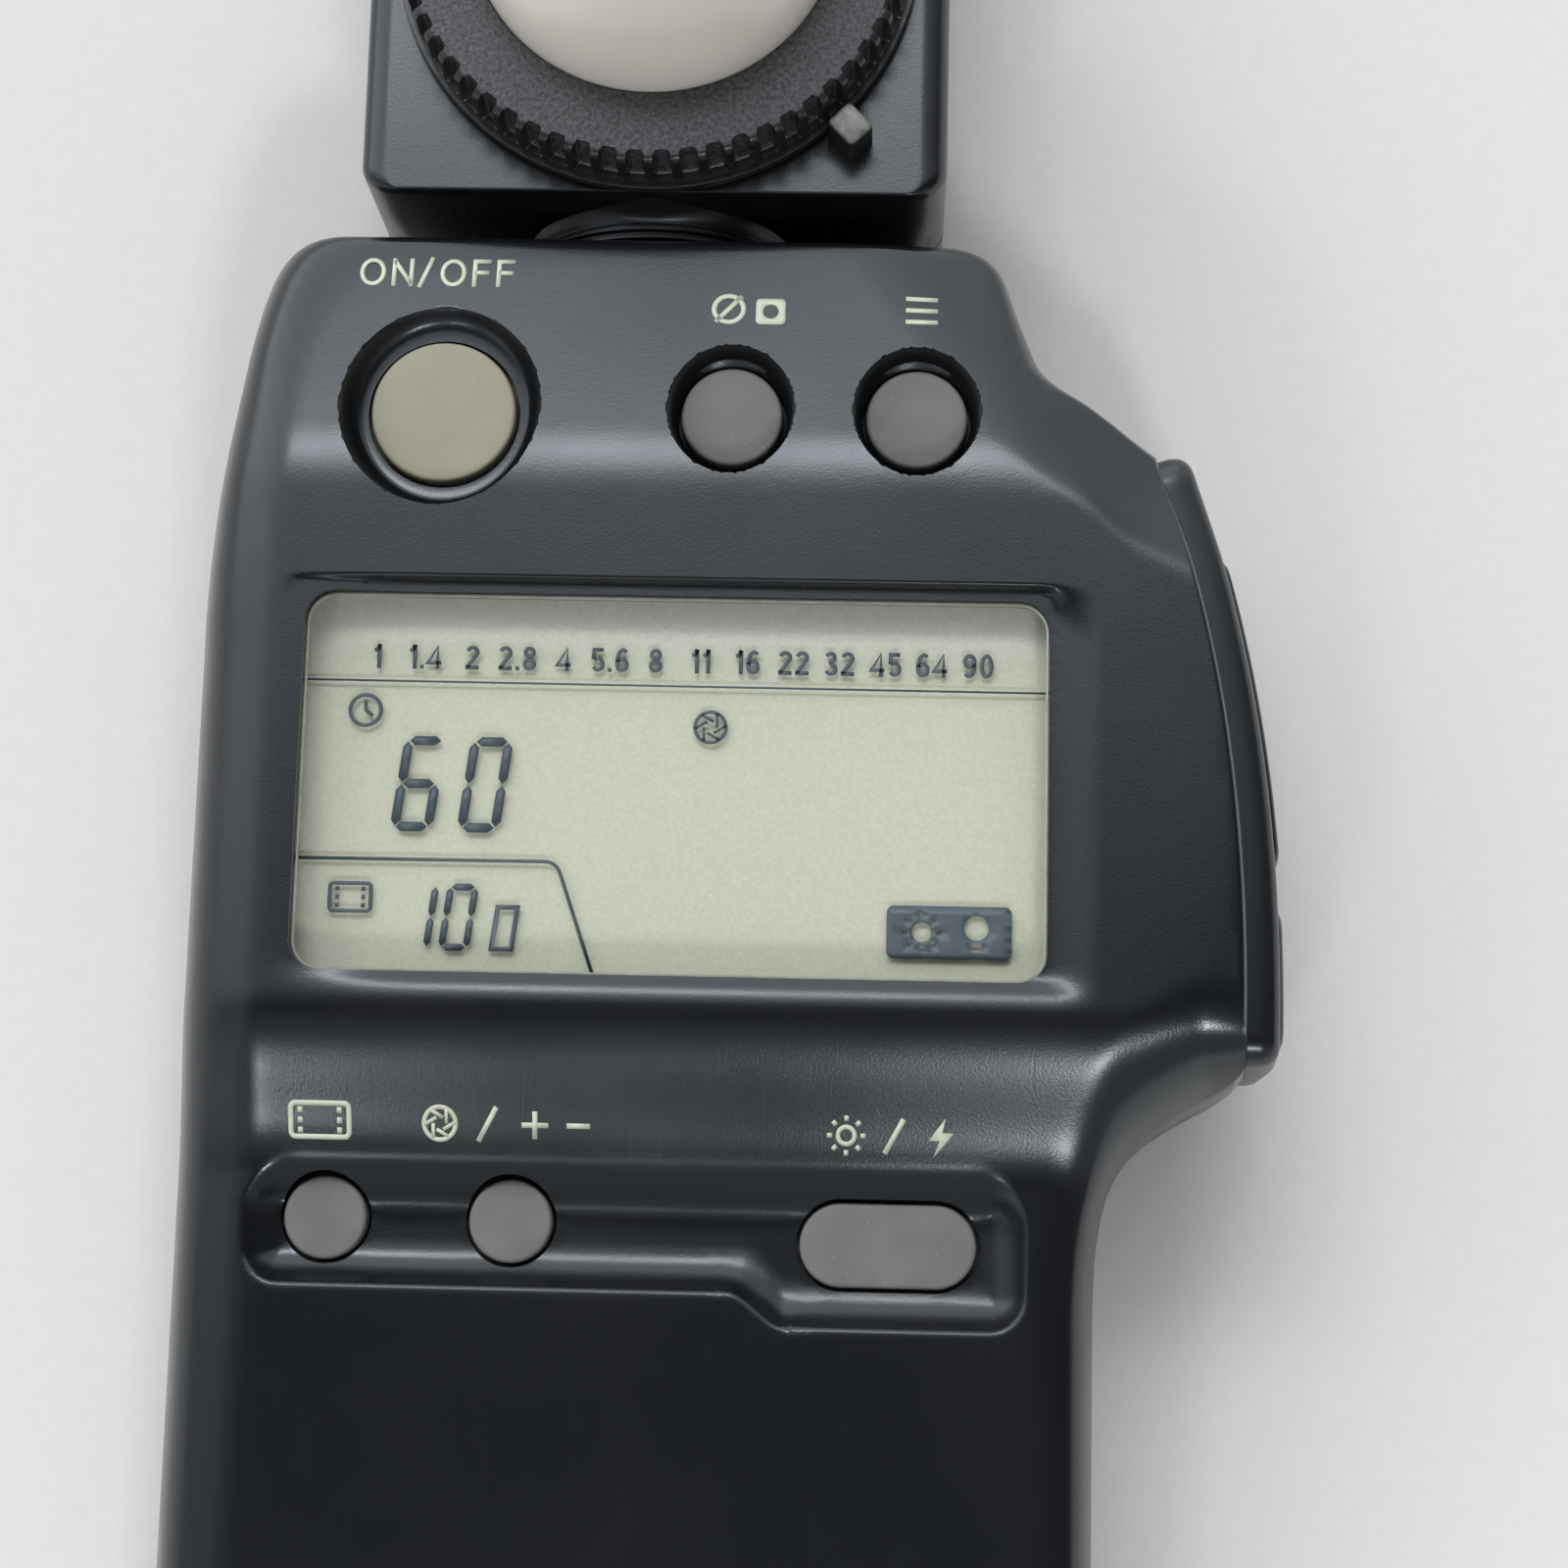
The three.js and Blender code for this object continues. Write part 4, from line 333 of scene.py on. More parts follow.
def cover_level(x, y, wall, width, share):
    """Height of the front cover: face and flank meet in a crease that is softer where the flank is
    wide and at the elbow beside the step; the display's frame, the dishes and the pocket are let in."""
    face = face_level(x, y)
    wall = np.minimum(wall, face - wall_clear)
    flank = wall + (face + 0.5 - wall) * flank_rise(share)
    elbow = np.exp(-((x - elbow_x) / 5) ** 2 - ((y - elbow_y) / 4) ** 2)
    level = soft_min(face, flank, crease_least + crease_share * width + crease_elbow * elbow)
    left, low, right, high = frame_box
    ends = 1 - smooth(np.minimum(x - left + 1.4, right + 0.1 - x), 0, 2.6)
    recess = smooth((high - y) / (frame_edge + 3.0 * ends), 0, 1) * smooth(y - low, 0, frame_ease)
    recess = recess * smooth(x - left, -1.0, 9.0)
    level = level - frame_recess * recess * smooth(right - x, -1.2, 2.0)
    for key in dished_keys:
        level = dished(level, x, y, key)
    # The pocket's wall is crisp below; above it is rolled over, from outside the rim but in the corners
    deep = pocket_distance(x, y)
    crisp = 1 - (1 - np.clip((deep + np.sqrt(deep * deep + 0.012)) / pocket_reach, 0, 1)) ** 2.6
    fade = smooth(np.minimum(x - pocket_box[0] + 1, pocket_box[2] + 1 - x), 0.6, 4.0)
    rolled = smooth(deep, -1.0 * fade, pocket_roll)
    upper = smooth(y, -28.6, -26.6)
    return level - (level - pocket_floor) * np.clip(crisp + (rolled - crisp) * upper, 0, 1)


def stadium(x, y, radius, half=0.0, count=48):
    """A circle, or two half circles and the lines between them, as plan points."""
    turn = (np.arange(count) + 0.5) * 2 * np.pi / count
    side = np.sign(np.cos(turn)) * half
    return np.column_stack([x + side + radius * np.cos(turn), y + radius * np.sin(turn)])


def rounded_box(left, bottom, right, top, corner, grow=0.0, step=0.6, turns=9, count=None):
    """A rectangle with round corners, grown outwards, as plan points: each side evenly spread, at
    a step or in a count of parts."""
    radius = corner + grow
    turn = np.radians(np.linspace(0, 90, turns))
    arc = radius * np.column_stack([np.cos(turn), np.sin(turn)])
    middles = [(right - corner, top - corner), (left + corner, top - corner),
               (left + corner, bottom + corner), (right - corner, bottom + corner)]
    quarter = np.array([[0, -1], [1, 0]])
    runs, spin = [], np.eye(2)
    for k, middle in enumerate(middles):
        bow = arc @ spin.T + middle
        spin = quarter @ spin
        gap = np.array(middles[(k + 1) % 4]) + radius * spin[:, 0] - bow[-1]
        parts = count or max(int(np.hypot(*gap) / step), 1)
        runs += [bow, bow[-1] + gap * np.arange(1, parts)[:, None] / parts]
    return np.concatenate(runs)


def inside(points, loop):
    """Whether points lie inside a closed loop: an odd number of its edges cross to their right."""
    x, y = points[:, :1], points[:, 1:2]
    a, b = loop, np.roll(loop, -1, axis=0)
    spans = (a[:, 1] > y) != (b[:, 1] > y)
    fall = np.where(a[:, 1] == b[:, 1], 1, b[:, 1] - a[:, 1])
    return (spans & (x < a[:, 0] + (y - a[:, 1]) * (b[:, 0] - a[:, 0]) / fall)).sum(axis=1) % 2 == 1


def tiled(loops, free, step):
    """Triangles over an outer loop with holes, through free points that keep clear of the loops."""
    fixed = np.concatenate(loops)
    cells = set(map(tuple, np.round(fixed / step).astype(int).tolist()))
    cell, first = np.unique(np.round(free / step).astype(int), axis=0, return_index=True)
    clear = [i for i, c in zip(first.tolist(), cell.tolist()) if tuple(c) not in cells]
    free = free[sorted(clear)]
    free = free[inside(free, loops[0])]
    for hole in loops[1:]:
        free = free[~inside(free, hole)]
    points = np.concatenate([fixed, free])
    starts = np.cumsum([0] + [len(loop) for loop in loops])
    edges = [(s + i, s + (i + 1) % len(loop)) for s, loop in zip(starts, loops) for i in range(len(loop))]
    found = delaunay_2d_cdt(points.tolist(), edges, [], 1, 1e-7)
    assert len(found[0]) == len(points)
    faces = np.array(found[2])
    middle = points[faces].mean(axis=1)
    keep = np.ones(len(faces), bool)
    for hole in loops[1:]:
        keep &= ~inside(middle, hole)
    return points, faces[keep], starts


def strip(first, second):
    """Quads between two closed rows of point numbers."""
    return np.column_stack([first, np.roll(first, -1), np.roll(second, -1), second])


def wrapped(count, rows, closed=False):
    """Quads between each closed row of points and the next, and from the last to the first if closed."""
    number = np.arange(count)
    return np.concatenate([strip(number + k * count, number + (k + 1) % rows * count)
                           for k in range(rows if closed else rows - 1)])


def gridded(x, y):
    """All points of a grid with these columns and rows."""
    return np.stack(np.meshgrid(x, y), axis=-1).reshape(-1, 2)


def key_line(key, grow, count=72):
    """A key's plan outline, grown outwards."""
    return stadium(key["x"], key["y"], key["radius"] + grow, key.get("half", 0), count)


def outward(points):
    """Unit normals of a closed anticlockwise plan loop, pointing out of it."""
    along = np.roll(points, -1, axis=0) - np.roll(points, 1, axis=0)
    along /= np.linalg.norm(along, axis=1)[:, None]
    return np.column_stack([along[:, 1], -along[:, 0]])


def along_pocket(offset):
    """The pocket's rim moved outwards by an offset, as plan points."""
    left, bottom, right, top = pocket_box
    x = np.linspace(step_from, step_from + step_run, 16)
    shallow = rounded_box(*pocket_box, pocket_corner)
    deeper = rounded_box(left, bottom - step_drop, right, top, pocket_corner)
    shallow = shallow[(shallow[:, 1] > top - 2.3) | (shallow[:, 0] < x[0])]
    deeper = deeper[(deeper[:, 1] <= top - 2.3) & (deeper[:, 0] > x[-1])]
    rim = np.concatenate([shallow, np.column_stack([x, pocket_low(x)]), deeper])
    middle = np.array([-5.0, -30.0])
    rim = rim[np.argsort(np.arctan2(*(rim - middle).T[::-1]))]
    return rim + outward(rim) * offset


lean_foot, lean_rise, lean_in = 12.6, 11.9, 1.1


def leaned(points):
    """The side's draft: above half height it leans in, and its upper end falls back, with height."""
    x, y, z = points.T
    draft = lean_in * np.clip((z - lean_foot) / lean_rise, 0, 1.1)
    back = smooth(x, 20.5, 27) * smooth(y, 0, 20) + smooth(x, 14.9, 24) * smooth(y, 12, 20)
    return np.column_stack([x - draft * smooth(x, 20.5, 26), y - draft * back, z])


# Rows of the flank, each outline higher than the last; the lip is the wall's lower edge, which
# rises over the strap slot and the sync socket
band_shares = [0.004, 0.015, 0.035, 0.06, 0.1, 0.15, 0.21, 0.28, 0.36, 0.45, 0.54, 0.63, 0.71, 0.78]
parting = 9.12
outer = case_outline(0)
columns = len(outer)
walls = outer[:, 2] = np.minimum(outer[:, 2], face_level(*outer[:, :2].T) - wall_clear)
widths = np.linalg.norm(case_outline(1)[:, :2] - outer[:, :2], axis=1)
out = outward(outer[:, :2])
lip = np.full(columns, parting)
end = np.arange(columns) < len(end_shares)
lip[end & (outer[:, 0] > strap_slot[0] - 0.01) & (outer[:, 0] < strap_slot[1] + 0.01)] = strap_top
from_sync = np.minimum(np.abs(outer[:, 0] - sync_x) / sync_radius, 1)
lip[end] = np.maximum(lip, sync_z + sync_radius * np.sqrt(1 - from_sync ** 2))[end]
rows = [np.column_stack([outer[:, :2] - out * inset, np.maximum(lip + above, least)])
        for inset, above, least in ((1.7, 0.5, 11.5), (1.7, 0, 0), (0.15, 0, 0), (0.04, 0.04, 0), (0, 0.15, 0))]
rows += [np.column_stack([outer[:, :2], (lip + 0.15 + walls) / 2]), outer.copy()]
for share in band_shares:
    ring = case_outline(share)[:, :2]
    rows.append(np.column_stack([ring, cover_level(*ring.T, walls, widths, np.full(columns, share))]))

# The face between them, with its holes: a grid, and rows of points along every edge in it
rim = rows[-1][:, :2]
holes = [key_line(k, key_slit) for k in keys]
holes.append(rounded_box(*window_box, window_corner, 0.06))
grid = gridded(np.arange(-34, 34, 0.6), np.arange(-74, 34, 0.6))
deep = pocket_distance(*grid.T)
keep = ~((deep > -1.1) & (deep < 2.2)) & (np.abs(grid[:, 1] - frame_box[3] + 0.2) > 0.8)
free = []
from_rim = np.array([-1.2, -0.95, -0.75, -0.6, -0.47, -0.36, -0.26, -0.17, -0.08, 0,
                     0.08, 0.17, 0.26, 0.36, 0.47, 0.6, 0.8])
for k in dished_keys:
    oval, middle = np.array([1, k["long"]]), np.array([k["x"], k["y"]])
    free += [(stadium(0, 0, r, 0, 144) * oval) + middle
             for r in k["dish"] + from_rim if r > k["radius"] + key_slit + 0.08]
    keep &= np.hypot(*((grid - middle) / oval).T) > k["dish"] + 1.15
free += [key_line(k, key_slit + r) for k in pocket_keys for r in (0.12, 0.3)]
ledge = np.linspace(-28.6, 23.4, 110)
free += [np.column_stack([ledge, np.full(len(ledge), frame_box[3] - g)])
         for g in (-0.35, -0.15, -0.04, 0.03, 0.09, 0.15, 0.21, 0.27, 0.33, 0.39, 0.46, 0.6, 0.8)]
free += [rounded_box(*window_box, window_corner, g, 0.45) for g in (0.2, 0.4)]
free += [along_pocket(g) for g in (1.0, 0.7, 0.45, 0.25, 0.12, 0.03, -0.03, -0.1, -0.2, -0.35, -0.55, -0.8,
                                   -1.1, -1.4, -1.8)]
fine, thick = case_outline(band_shares[-1], 5)[:, :2], case_outline(band_shares[-1])[:, :2]
beside = np.flatnonzero(((grid[:, None] - thick[None]) ** 2).sum(axis=2).min(axis=1) < 1.5)
gaps = ((grid[beside][:, None] - fine[None]) ** 2).sum(axis=2).min(axis=1)
keep[beside[gaps < 0.03]] = False
plan, tiles, starts = tiled([rim] + holes, np.concatenate(free + [grid[keep]]), 0.1)

# Each point takes the wall and flank width of the rim near it, and its share from its distance
gaps = np.sqrt(((plan[:, None] - thick[None]) ** 2).sum(axis=2))
reach = gaps.min(axis=1)
pull = np.exp((reach[:, None] - gaps) / 0.6)
pull /= pull.sum(axis=1)[:, None]
wall, width = pull @ walls, pull @ widths
near = reach < 4
reach[near] = np.sqrt(((plan[near][:, None] - fine[None]) ** 2).sum(axis=2).min(axis=1))
level = cover_level(*plan.T, wall, width, band_shares[-1] + reach / width)

# The rim's points are the last row's; every hole gets a skirt down its wall
base = len(rows) * columns
order = np.concatenate([np.arange(base - columns, base), base + np.arange(len(plan) - columns)])
points = np.concatenate(rows + [np.column_stack([plan, level])[columns:]])
faces = [wrapped(columns, len(rows))]
skirts, count = [], len(points)
for start, stop in zip(starts[1:], starts[2:]):
    loop = order[start:stop]
    skirts.append(points[loop] - [0, 0, 1.6])
    faces.append(strip(loop, count + np.arange(len(loop))))
    count += len(loop)
points = leaned(np.concatenate([points] + skirts))
faces = sum([f.tolist() for f in faces], []) + order[tiles].tolist()


def surfaced(tree, share, colour, other, values):
    """End a material: two colours, mixed by a share, on a principled surface with these values."""
    ends = [end if isinstance(end, bpy.types.NodeSocket) else linear(end) for end in (colour, other)]
    tint = node(tree, "Mix", {"Factor": share, 6: ends[0], 7: ends[1]}, data_type="RGBA")
    shader = node(tree, "BsdfPrincipled", {"Base Color": tint.outputs[2], **values})
    node(tree, "OutputMaterial", {"Surface": shader})


def grained_plastic(name, colour, worn, roughness, grain=0.22, depth=0.012, scratches=0.25):
    """Moulded plastic: spark-eroded grain, fine rub marks that run down the grip, and colour mottled
    at a larger size; grain and depth are in millimetres."""
    material, tree, place = blank_material(name)
    fine = node(tree, "TexNoise", {"Vector": place, "Scale": 1 / (grain * MM), "Detail": 2.0, "Roughness": 0.6})
    broad = node(tree, "TexNoise", {"Vector": place, "Scale": 60.0, "Detail": 4.0, "Roughness": 0.55})
    drawn = node(tree, "Mapping", {"Vector": place, "Rotation": (0.0, 0.0, 0.5), "Scale": (2600.0, 90.0, 400.0)})
    hairs = node(tree, "TexNoise", {"Vector": drawn, "Scale": 1.0, "Detail": 1.0})
    thin = node(tree, "MapRange", [hairs, 0.66, 0.74])
    cloud = node(tree, "MapRange", [broad, 0.3, 0.75, 0.0, 0.7])
    gloss = node(tree, "MapRange", [broad, 0.3, 0.7, roughness + 0.05, roughness - 0.05])
    marked = node(tree, "Math", [thin, 0.12 * scratches, gloss], operation="MULTIPLY_ADD")
    height = node(tree, "Math", [thin, -scratches, fine], operation="MULTIPLY_ADD")
    bump = node(tree, "Bump", {"Height": height, "Distance": depth * MM, "Strength": 1.0})
    surfaced(tree, cloud, colour, worn, {"Roughness": marked, "Normal": bump, "IOR": 1.56,
                                         "Specular Tint": linear("#eaf3fa")})
    return material


def finish(piece, body, slot, *replaced):
    """The piece rides on a body and stands for CAD nodes; the slot argument is not used."""
    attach(piece, body)
    if replaced:
        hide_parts(*replaced)
    return piece


# Near black with a blue cast, slightly greyer where hands have worn it
body_plastic = grained_plastic("satin black ABS, moulded", "#0b0c0f", "#14171a", 0.24, 0.14, 0.008, 0.12)
finish(mesh_piece("front_case", points, faces, body_plastic), "case", "case", "front_cover")

# The strap slot's upper half: a shallow trough behind the opening in the cover's end wall
low, high = strap_slot
trough = [(x, y, z) for y in (-74.4, -71.1)
          for x, z in ((low, 9.0), (low, strap_top), (high, strap_top), (high, 9.0))]
trough = mesh_piece("strap_slot_liner", trough, [(0, 4, 5, 1), (1, 5, 6, 2), (2, 6, 7, 3), (4, 7, 6, 5)], body_plastic)
skin = trough.modifiers.new("wall", "SOLIDIFY")
skin.thickness, skin.offset = 0.5 * MM, -1.0
finish(trough, "case", "case")


# Face keys: silicone-painted caps with rounded edges, each in its own hole. The power key is
# a warm grey, the others a mid grey; a flange under the cover keeps each from falling out.
def eased(corners, radius, steps=4):
    """An open line of corners with each inner corner turned into a small curve."""
    corners = np.asarray(corners, float)
    line = [corners[:1]]
    for a, b, c in zip(corners, corners[1:], corners[2:]):
        near, far = a - b, c - b
        ease = min(radius, np.linalg.norm(near) / 2, np.linalg.norm(far) / 2)
        start, end = b + near / np.linalg.norm(near) * ease, b + far / np.linalg.norm(far) * ease
        line.append(bent([start, b, end], steps))
        line.append(end[None])
    return np.concatenate(line + [corners[-1:]])


def stacked(outlines, heights):
    """Closed plan rows at rising heights, joined by quads and capped flat at both ends."""
    count = len(outlines[0])
    points = np.concatenate([np.column_stack([o, np.full(count, z)]) for o, z in zip(outlines, heights)])
    number = np.arange(count)
    ends = [number[::-1].tolist(), (number + (len(outlines) - 1) * count).tolist()]
    return points, wrapped(count, len(outlines)).tolist() + ends


def key_cap(name, key, slot, material, count=72):
    """A cap's stadium rows from its flange up to its rounded top, 0.6 mm above its seat."""
    flange, top = key["floor"] - 1.7, key["floor"] + 0.6
    line = eased([(0.7, flange - 0.8), (0.7, flange), (0.0, flange), (0.0, top), (-1.2, top)], 0.28, 5)
    rows = [key_line(key, r, count) for r, _ in line]
    cap = mesh_piece(name + "_cap", *stacked(rows, line[:, 1]), material)
    finish(cap, name + "_key", slot, name + "_button")


def painted_rubber(name, colour, dusty, roughness=0.6):
    """Soft painted cap: even colour with faint dust specks and a very fine orange-peel bump."""
    material, tree, place = blank_material(name)
    peel = node(tree, "TexNoise", {"Vector": place, "Scale": 3000.0, "Detail": 2.0})
    motes = node(tree, "TexVoronoi", {"Vector": place, "Scale": 900.0}, feature="F1")
    speck = node(tree, "MapRange", [motes, 0.10, 0.06])
    stain = node(tree, "TexNoise", {"Vector": place, "Scale": 350.0, "Detail": 3.0})
    shade = node(tree, "MapRange", [stain, 0.35, 0.8, 0.0, 0.35])
    grade = node(tree, "Math", [speck, 0.5, shade], operation="MULTIPLY_ADD")
    bump = node(tree, "Bump", {"Height": peel, "Distance": 0.004 * MM})
    surfaced(tree, grade, colour, dusty, {"Roughness": roughness, "Normal": bump})
    return material


warm_cap = painted_rubber("warm grey key paint", "#8a8775", "#a29f8f")
grey_cap = painted_rubber("mid grey key paint", "#5f605e", "#7c7d7b")
key_cap("power", power_key, "power_key", warm_cap, 120)
for name, key in zip(("average", "memory", "iso", "aperture", "mode"), keys[1:]):
    key_cap(name, key, "grey_keys", grey_cap)


# Display: a clear acrylic window with a polished bevel, whose glint is a painted pale ring, and behind it a reflective
# LCD whose dark segments stand half a millimetre above the grey-green reflector and shade it; the reflector's upper
# band is painted lighter where the frame's shadow falls.
window_top, lcd_top, reflector_top = 24.05, 22.1, 21.65
lcd_left, lcd_right = -26.7, 19.7
clear, tree, place = blank_material("clear acrylic window")
smear = node(tree, "TexNoise", {"Vector": place, "Scale": 90.0, "Detail": 5.0})
sheen = node(tree, "MapRange", [smear, 0.3, 0.8, 0.04, 0.14])
shader = node(tree, "BsdfPrincipled", {"Base Color": linear("#20221f"), "Roughness": sheen, "IOR": 1.49,
                                       "Alpha": 0.1})
node(tree, "OutputMaterial", {"Surface": shader})
line = eased([(1.2, 22.9), (1.2, 23.5), (0, 23.5), (0, window_top), (-0.8, window_top)], 0.18, 3)
edge = rounded_box(*window_box, window_corner)
rows = [edge + outward(edge) * grow for grow, _ in line]
finish(mesh_piece("display_glass", *stacked(rows, line[:, 1]), clear), "case", "window", "display_window")


def mottled(name, scale, detail, colour, other, roughness):
    """An even finish whose colour drifts between two by noise."""
    material, tree, place = blank_material(name)
    drift = node(tree, "TexNoise", {"Vector": place, "Scale": scale, "Detail": detail})
    surfaced(tree, drift, colour, other, {"Roughness": roughness})
    return material


# The window's edge: a thin pale ring, a painted highlight that stands in for the glint of the acrylic's polished cut
# edge
glint_line = [(-0.02, window_top), (-0.13, window_top + 0.03), (-0.13, window_top - 0.3), (-0.02, window_top - 0.3)]
points = np.concatenate([np.column_stack([edge + outward(edge) * g, np.full(len(edge), z)]) for g, z in glint_line])
faces = wrapped(len(edge), len(glint_line), True)
edge_glint = mottled("acrylic edge, painted glint", 800.0, 3.0, "#8d9086", "#c9ccbe", 0.25)
finish(mesh_piece("window_edge_glint", points, faces.tolist(), edge_glint), "case", "window")

reflector, tree, place = blank_material("grey-green LCD reflector, upper band painted lighter")
split = node(tree, "SeparateXYZ", {"Vector": place})
fleck = node(tree, "TexNoise", {"Vector": place, "Scale": 4000.0, "Detail": 2.0})
cloud = node(tree, "TexNoise", {"Vector": place, "Scale": 45.0, "Detail": 2.0})
# Painted light: the reflector's upper band, where the window frame casts its shadow, is painted lighter to soften that
# shadow
upper = node(tree, "MapRange", [split.outputs["Y"], 5.6 * MM, 7.8 * MM], interpolation_type="SMOOTHSTEP")
warm = node(tree, "Mix", {"Factor": cloud, 6: linear("#d5d9c3"), 7: linear("#dde0ca")}, data_type="RGBA")
painted_light_band = node(tree, "Mix", {"Factor": upper, 6: warm.outputs[2], 7: linear("#eef1e4")}, data_type="RGBA")
grain = node(tree, "MapRange", [fleck, 0.3, 0.7, 0.93, 1.05])
flecked = node(tree, "VectorMath", [painted_light_band.outputs[2], grain], operation="MULTIPLY")
shader = node(tree, "BsdfPrincipled", {"Base Color": flecked, "Roughness": 0.45})
node(tree, "OutputMaterial", {"Surface": shader})
panel = np.array([(lcd_left, -15.9), (lcd_right, -15.9), (lcd_right, 11.1), (lcd_left, 11.1)])
finish(mesh_piece("lcd_reflector", *stacked([panel, panel], [20.0, reflector_top]), reflector),
       "case", "lcd", "lcd_panel")

ink = mottled("LCD segment, blue grey", 700.0, 2.0, "#4e5a63", "#5b6871", 0.4)


def stroke(line, width, closed=False):
    """A flat ribbon of even width along a plan line, as points and quads."""
    line = np.asarray(line, float)
    ahead = np.roll(line, -1, axis=0) - line
    behind = line - np.roll(line, 1, axis=0)
    if not closed:
        ahead[-1], behind[0] = behind[-1], ahead[0]
    ahead /= np.linalg.norm(ahead, axis=1)[:, None]
    behind /= np.linalg.norm(behind, axis=1)[:, None]
    normal = np.column_stack([-(ahead + behind)[:, 1], (ahead + behind)[:, 0]])
    normal /= np.maximum((normal * np.column_stack([-ahead[:, 1], ahead[:, 0]])).sum(axis=1), 0.6)[:, None]
    points = np.concatenate([line - normal * width / 2, line + normal * width / 2])
    count = len(line)
    number = np.arange(count if closed else count - 1)
    following = (number + 1) % count
    return points, np.column_stack([number, following, following + count, number + count])


def joined(shapes):
    """Several shapes of points and faces as one."""
    points, faces, count = [], [], 0
    for p, f in shapes:
        points.append(np.asarray(p, float))
        faces += [[i + count for i in face] for face in np.asarray(f).tolist()]
        count += len(p)
    return np.concatenate(points), faces


def seven_segments(digits, x, y, width, height, pitch, bar, lean):
    """Slanted seven-segment figures from their left lower corner: each segment a six-sided bar."""
    lit = {"0": "abcdef", "1": "bc", "6": "acdefg"}
    ends = {"a": (0, 2, 1, 2), "b": (1, 2, 1, 1), "c": (1, 1, 1, 0), "d": (0, 0, 1, 0),
            "e": (0, 1, 0, 0), "f": (0, 2, 0, 1), "g": (0, 1, 1, 1)}
    shapes = []
    for k, digit in enumerate(digits):
        for segment in lit[digit]:
            x0, y0, x1, y1 = np.array(ends[segment]) * [width, height / 2, width, height / 2]
            start, end = np.array([x0, y0]), np.array([x1, y1])
            along = (end - start) / np.linalg.norm(end - start)
            side = np.array([-along[1], along[0]]) * bar / 2
            tip = bar * 0.55
            start, end = start + along * bar * 0.12, end - along * bar * 0.12
            bar_points = np.array([start, start + along * tip - side, end - along * tip - side, end,
                                   end - along * tip + side, start + along * tip + side])
            bar_points[:, 0] += lean * bar_points[:, 1] + x + k * pitch
            bar_points[:, 1] += y
            shapes.append((bar_points, [[0, 1, 2, 3, 4, 5]]))
    return joined(shapes)


def arc(x, y, across, up, start, end, count=10):
    """Points of an upright ellipse between two angles in degrees."""
    turn = np.radians(np.linspace(start, end, count))
    return np.column_stack([x + across * np.cos(turn), y + up * np.sin(turn)])


def figure(letter, line):
    """A plain sans figure one high, as strokes of a line's width: its lines run half a line inside."""
    h = line / 2
    w = 0.56 - h
    mid = (w + h) / 2
    r = mid - h
    top = 1 - h
    lines = {
        "0": [arc(mid, 0.5, r, 0.5 - h, 0, 345, 24)],
        "1": [[(0.12, 0.74), (0.24, 0.79), (0.33, 1)], [(0.33, 1), (0.33, 0)]],
        "2": [np.concatenate([arc(mid, 0.73, r, 0.27 - h, 165, -35, 14), [(h + 0.02, h + 0.06), (h, h)]]),
              [(0, h), (0.55, h)]],
        "3": [arc(mid - 0.01, 0.76, r - 0.03, 0.24 - h, 160, -90, 14), arc(mid, 0.27, r, 0.27 - h, 90, -160, 16),
              [(mid - 0.08, 0.53), (mid, 0.53)]],
        "4": [[(0.43, 0), (0.43, 1 - h * 0.6), (h * 0.4, 0.26), (0.58, 0.26)]],
        "5": [[(0.5, top), (0.13, top), (0.09, 0.52)], arc(mid, 0.32, r, 0.32 - h, 138, -150, 20)],
        "6": [arc(mid, 0.31, r, 0.31 - h, 0, 345, 22), arc(mid + 0.04, 0.42, r + 0.04, 0.58 - h, 180, 55, 12)],
        "8": [arc(mid, 0.75, r - 0.03, 0.25 - h, 0, 345, 20), arc(mid, 0.27, r, 0.27 - h, 0, 345, 22)],
        "9": [arc(mid, 0.69, r, 0.31 - h, 0, 345, 22), arc(mid - 0.04, 0.58, r + 0.04, 0.58 - h, 0, -125, 12)],
        ".": [[(h, 0), (h, line)]], "/": [[(0, -0.05), (0.4, 1.05)]],
        "O": [arc(0.42, 0.5, 0.42 - h, 0.5 - h, 0, 345, 28)],
        "N": [[(h, 0), (h, 1)], [(0.7 - h, 0), (0.7 - h, 1)], [(h * 0.9, 1 - h * 1.1), (0.7 - h * 0.9, h * 1.1)]],
        "F": [[(h, 0), (h, top), (0.58, top)], [(h, 0.52), (0.53, 0.52)]],
    }[letter]
    closed = "0689O"
    return [stroke(run, line, letter in closed and k == 0 or letter == "8") for k, run in enumerate(lines)]


def set_text(words, x, y, height, line, gap=0.13):
    """Figures set in a row round a place: each moves on by its own width and a gap."""
    shapes, start = [], 0.0
    for letter in words:
        strokes = figure(letter, line / height)
        reach = max(p[:, 0].max() for p, _ in strokes)
        back = -0.08 if letter == "1" else 0.0
        shapes += [((p + [start + back, 0]) * height, f) for p, f in strokes]
        start += reach + back + gap
    centre = [x - (start - gap) * height / 2, y - height / 2]
    return [(p + centre, f) for p, f in shapes]


def printed(name, shapes, level, material, body, slot, thickness=0.03):
    """Flat artwork on a surface: its shapes laid at their height and given the ink's thickness."""
    points, faces = joined(shapes)
    height = level(*points.T) if callable(level) else np.full(len(points), level)
    piece = mesh_piece(name, np.column_stack([points, height]), faces, material)
    skin = piece.modifiers.new("ink", "SOLIDIFY")
    skin.thickness, skin.offset = thickness * MM, 1.0
    return finish(piece, body, slot)


def circle(x, y, radius, count=32):
    """A closed round line of plan points."""
    turn = np.arange(count) * 2 * np.pi / count
    return np.column_stack([x + radius * np.cos(turn), y + radius * np.sin(turn)])


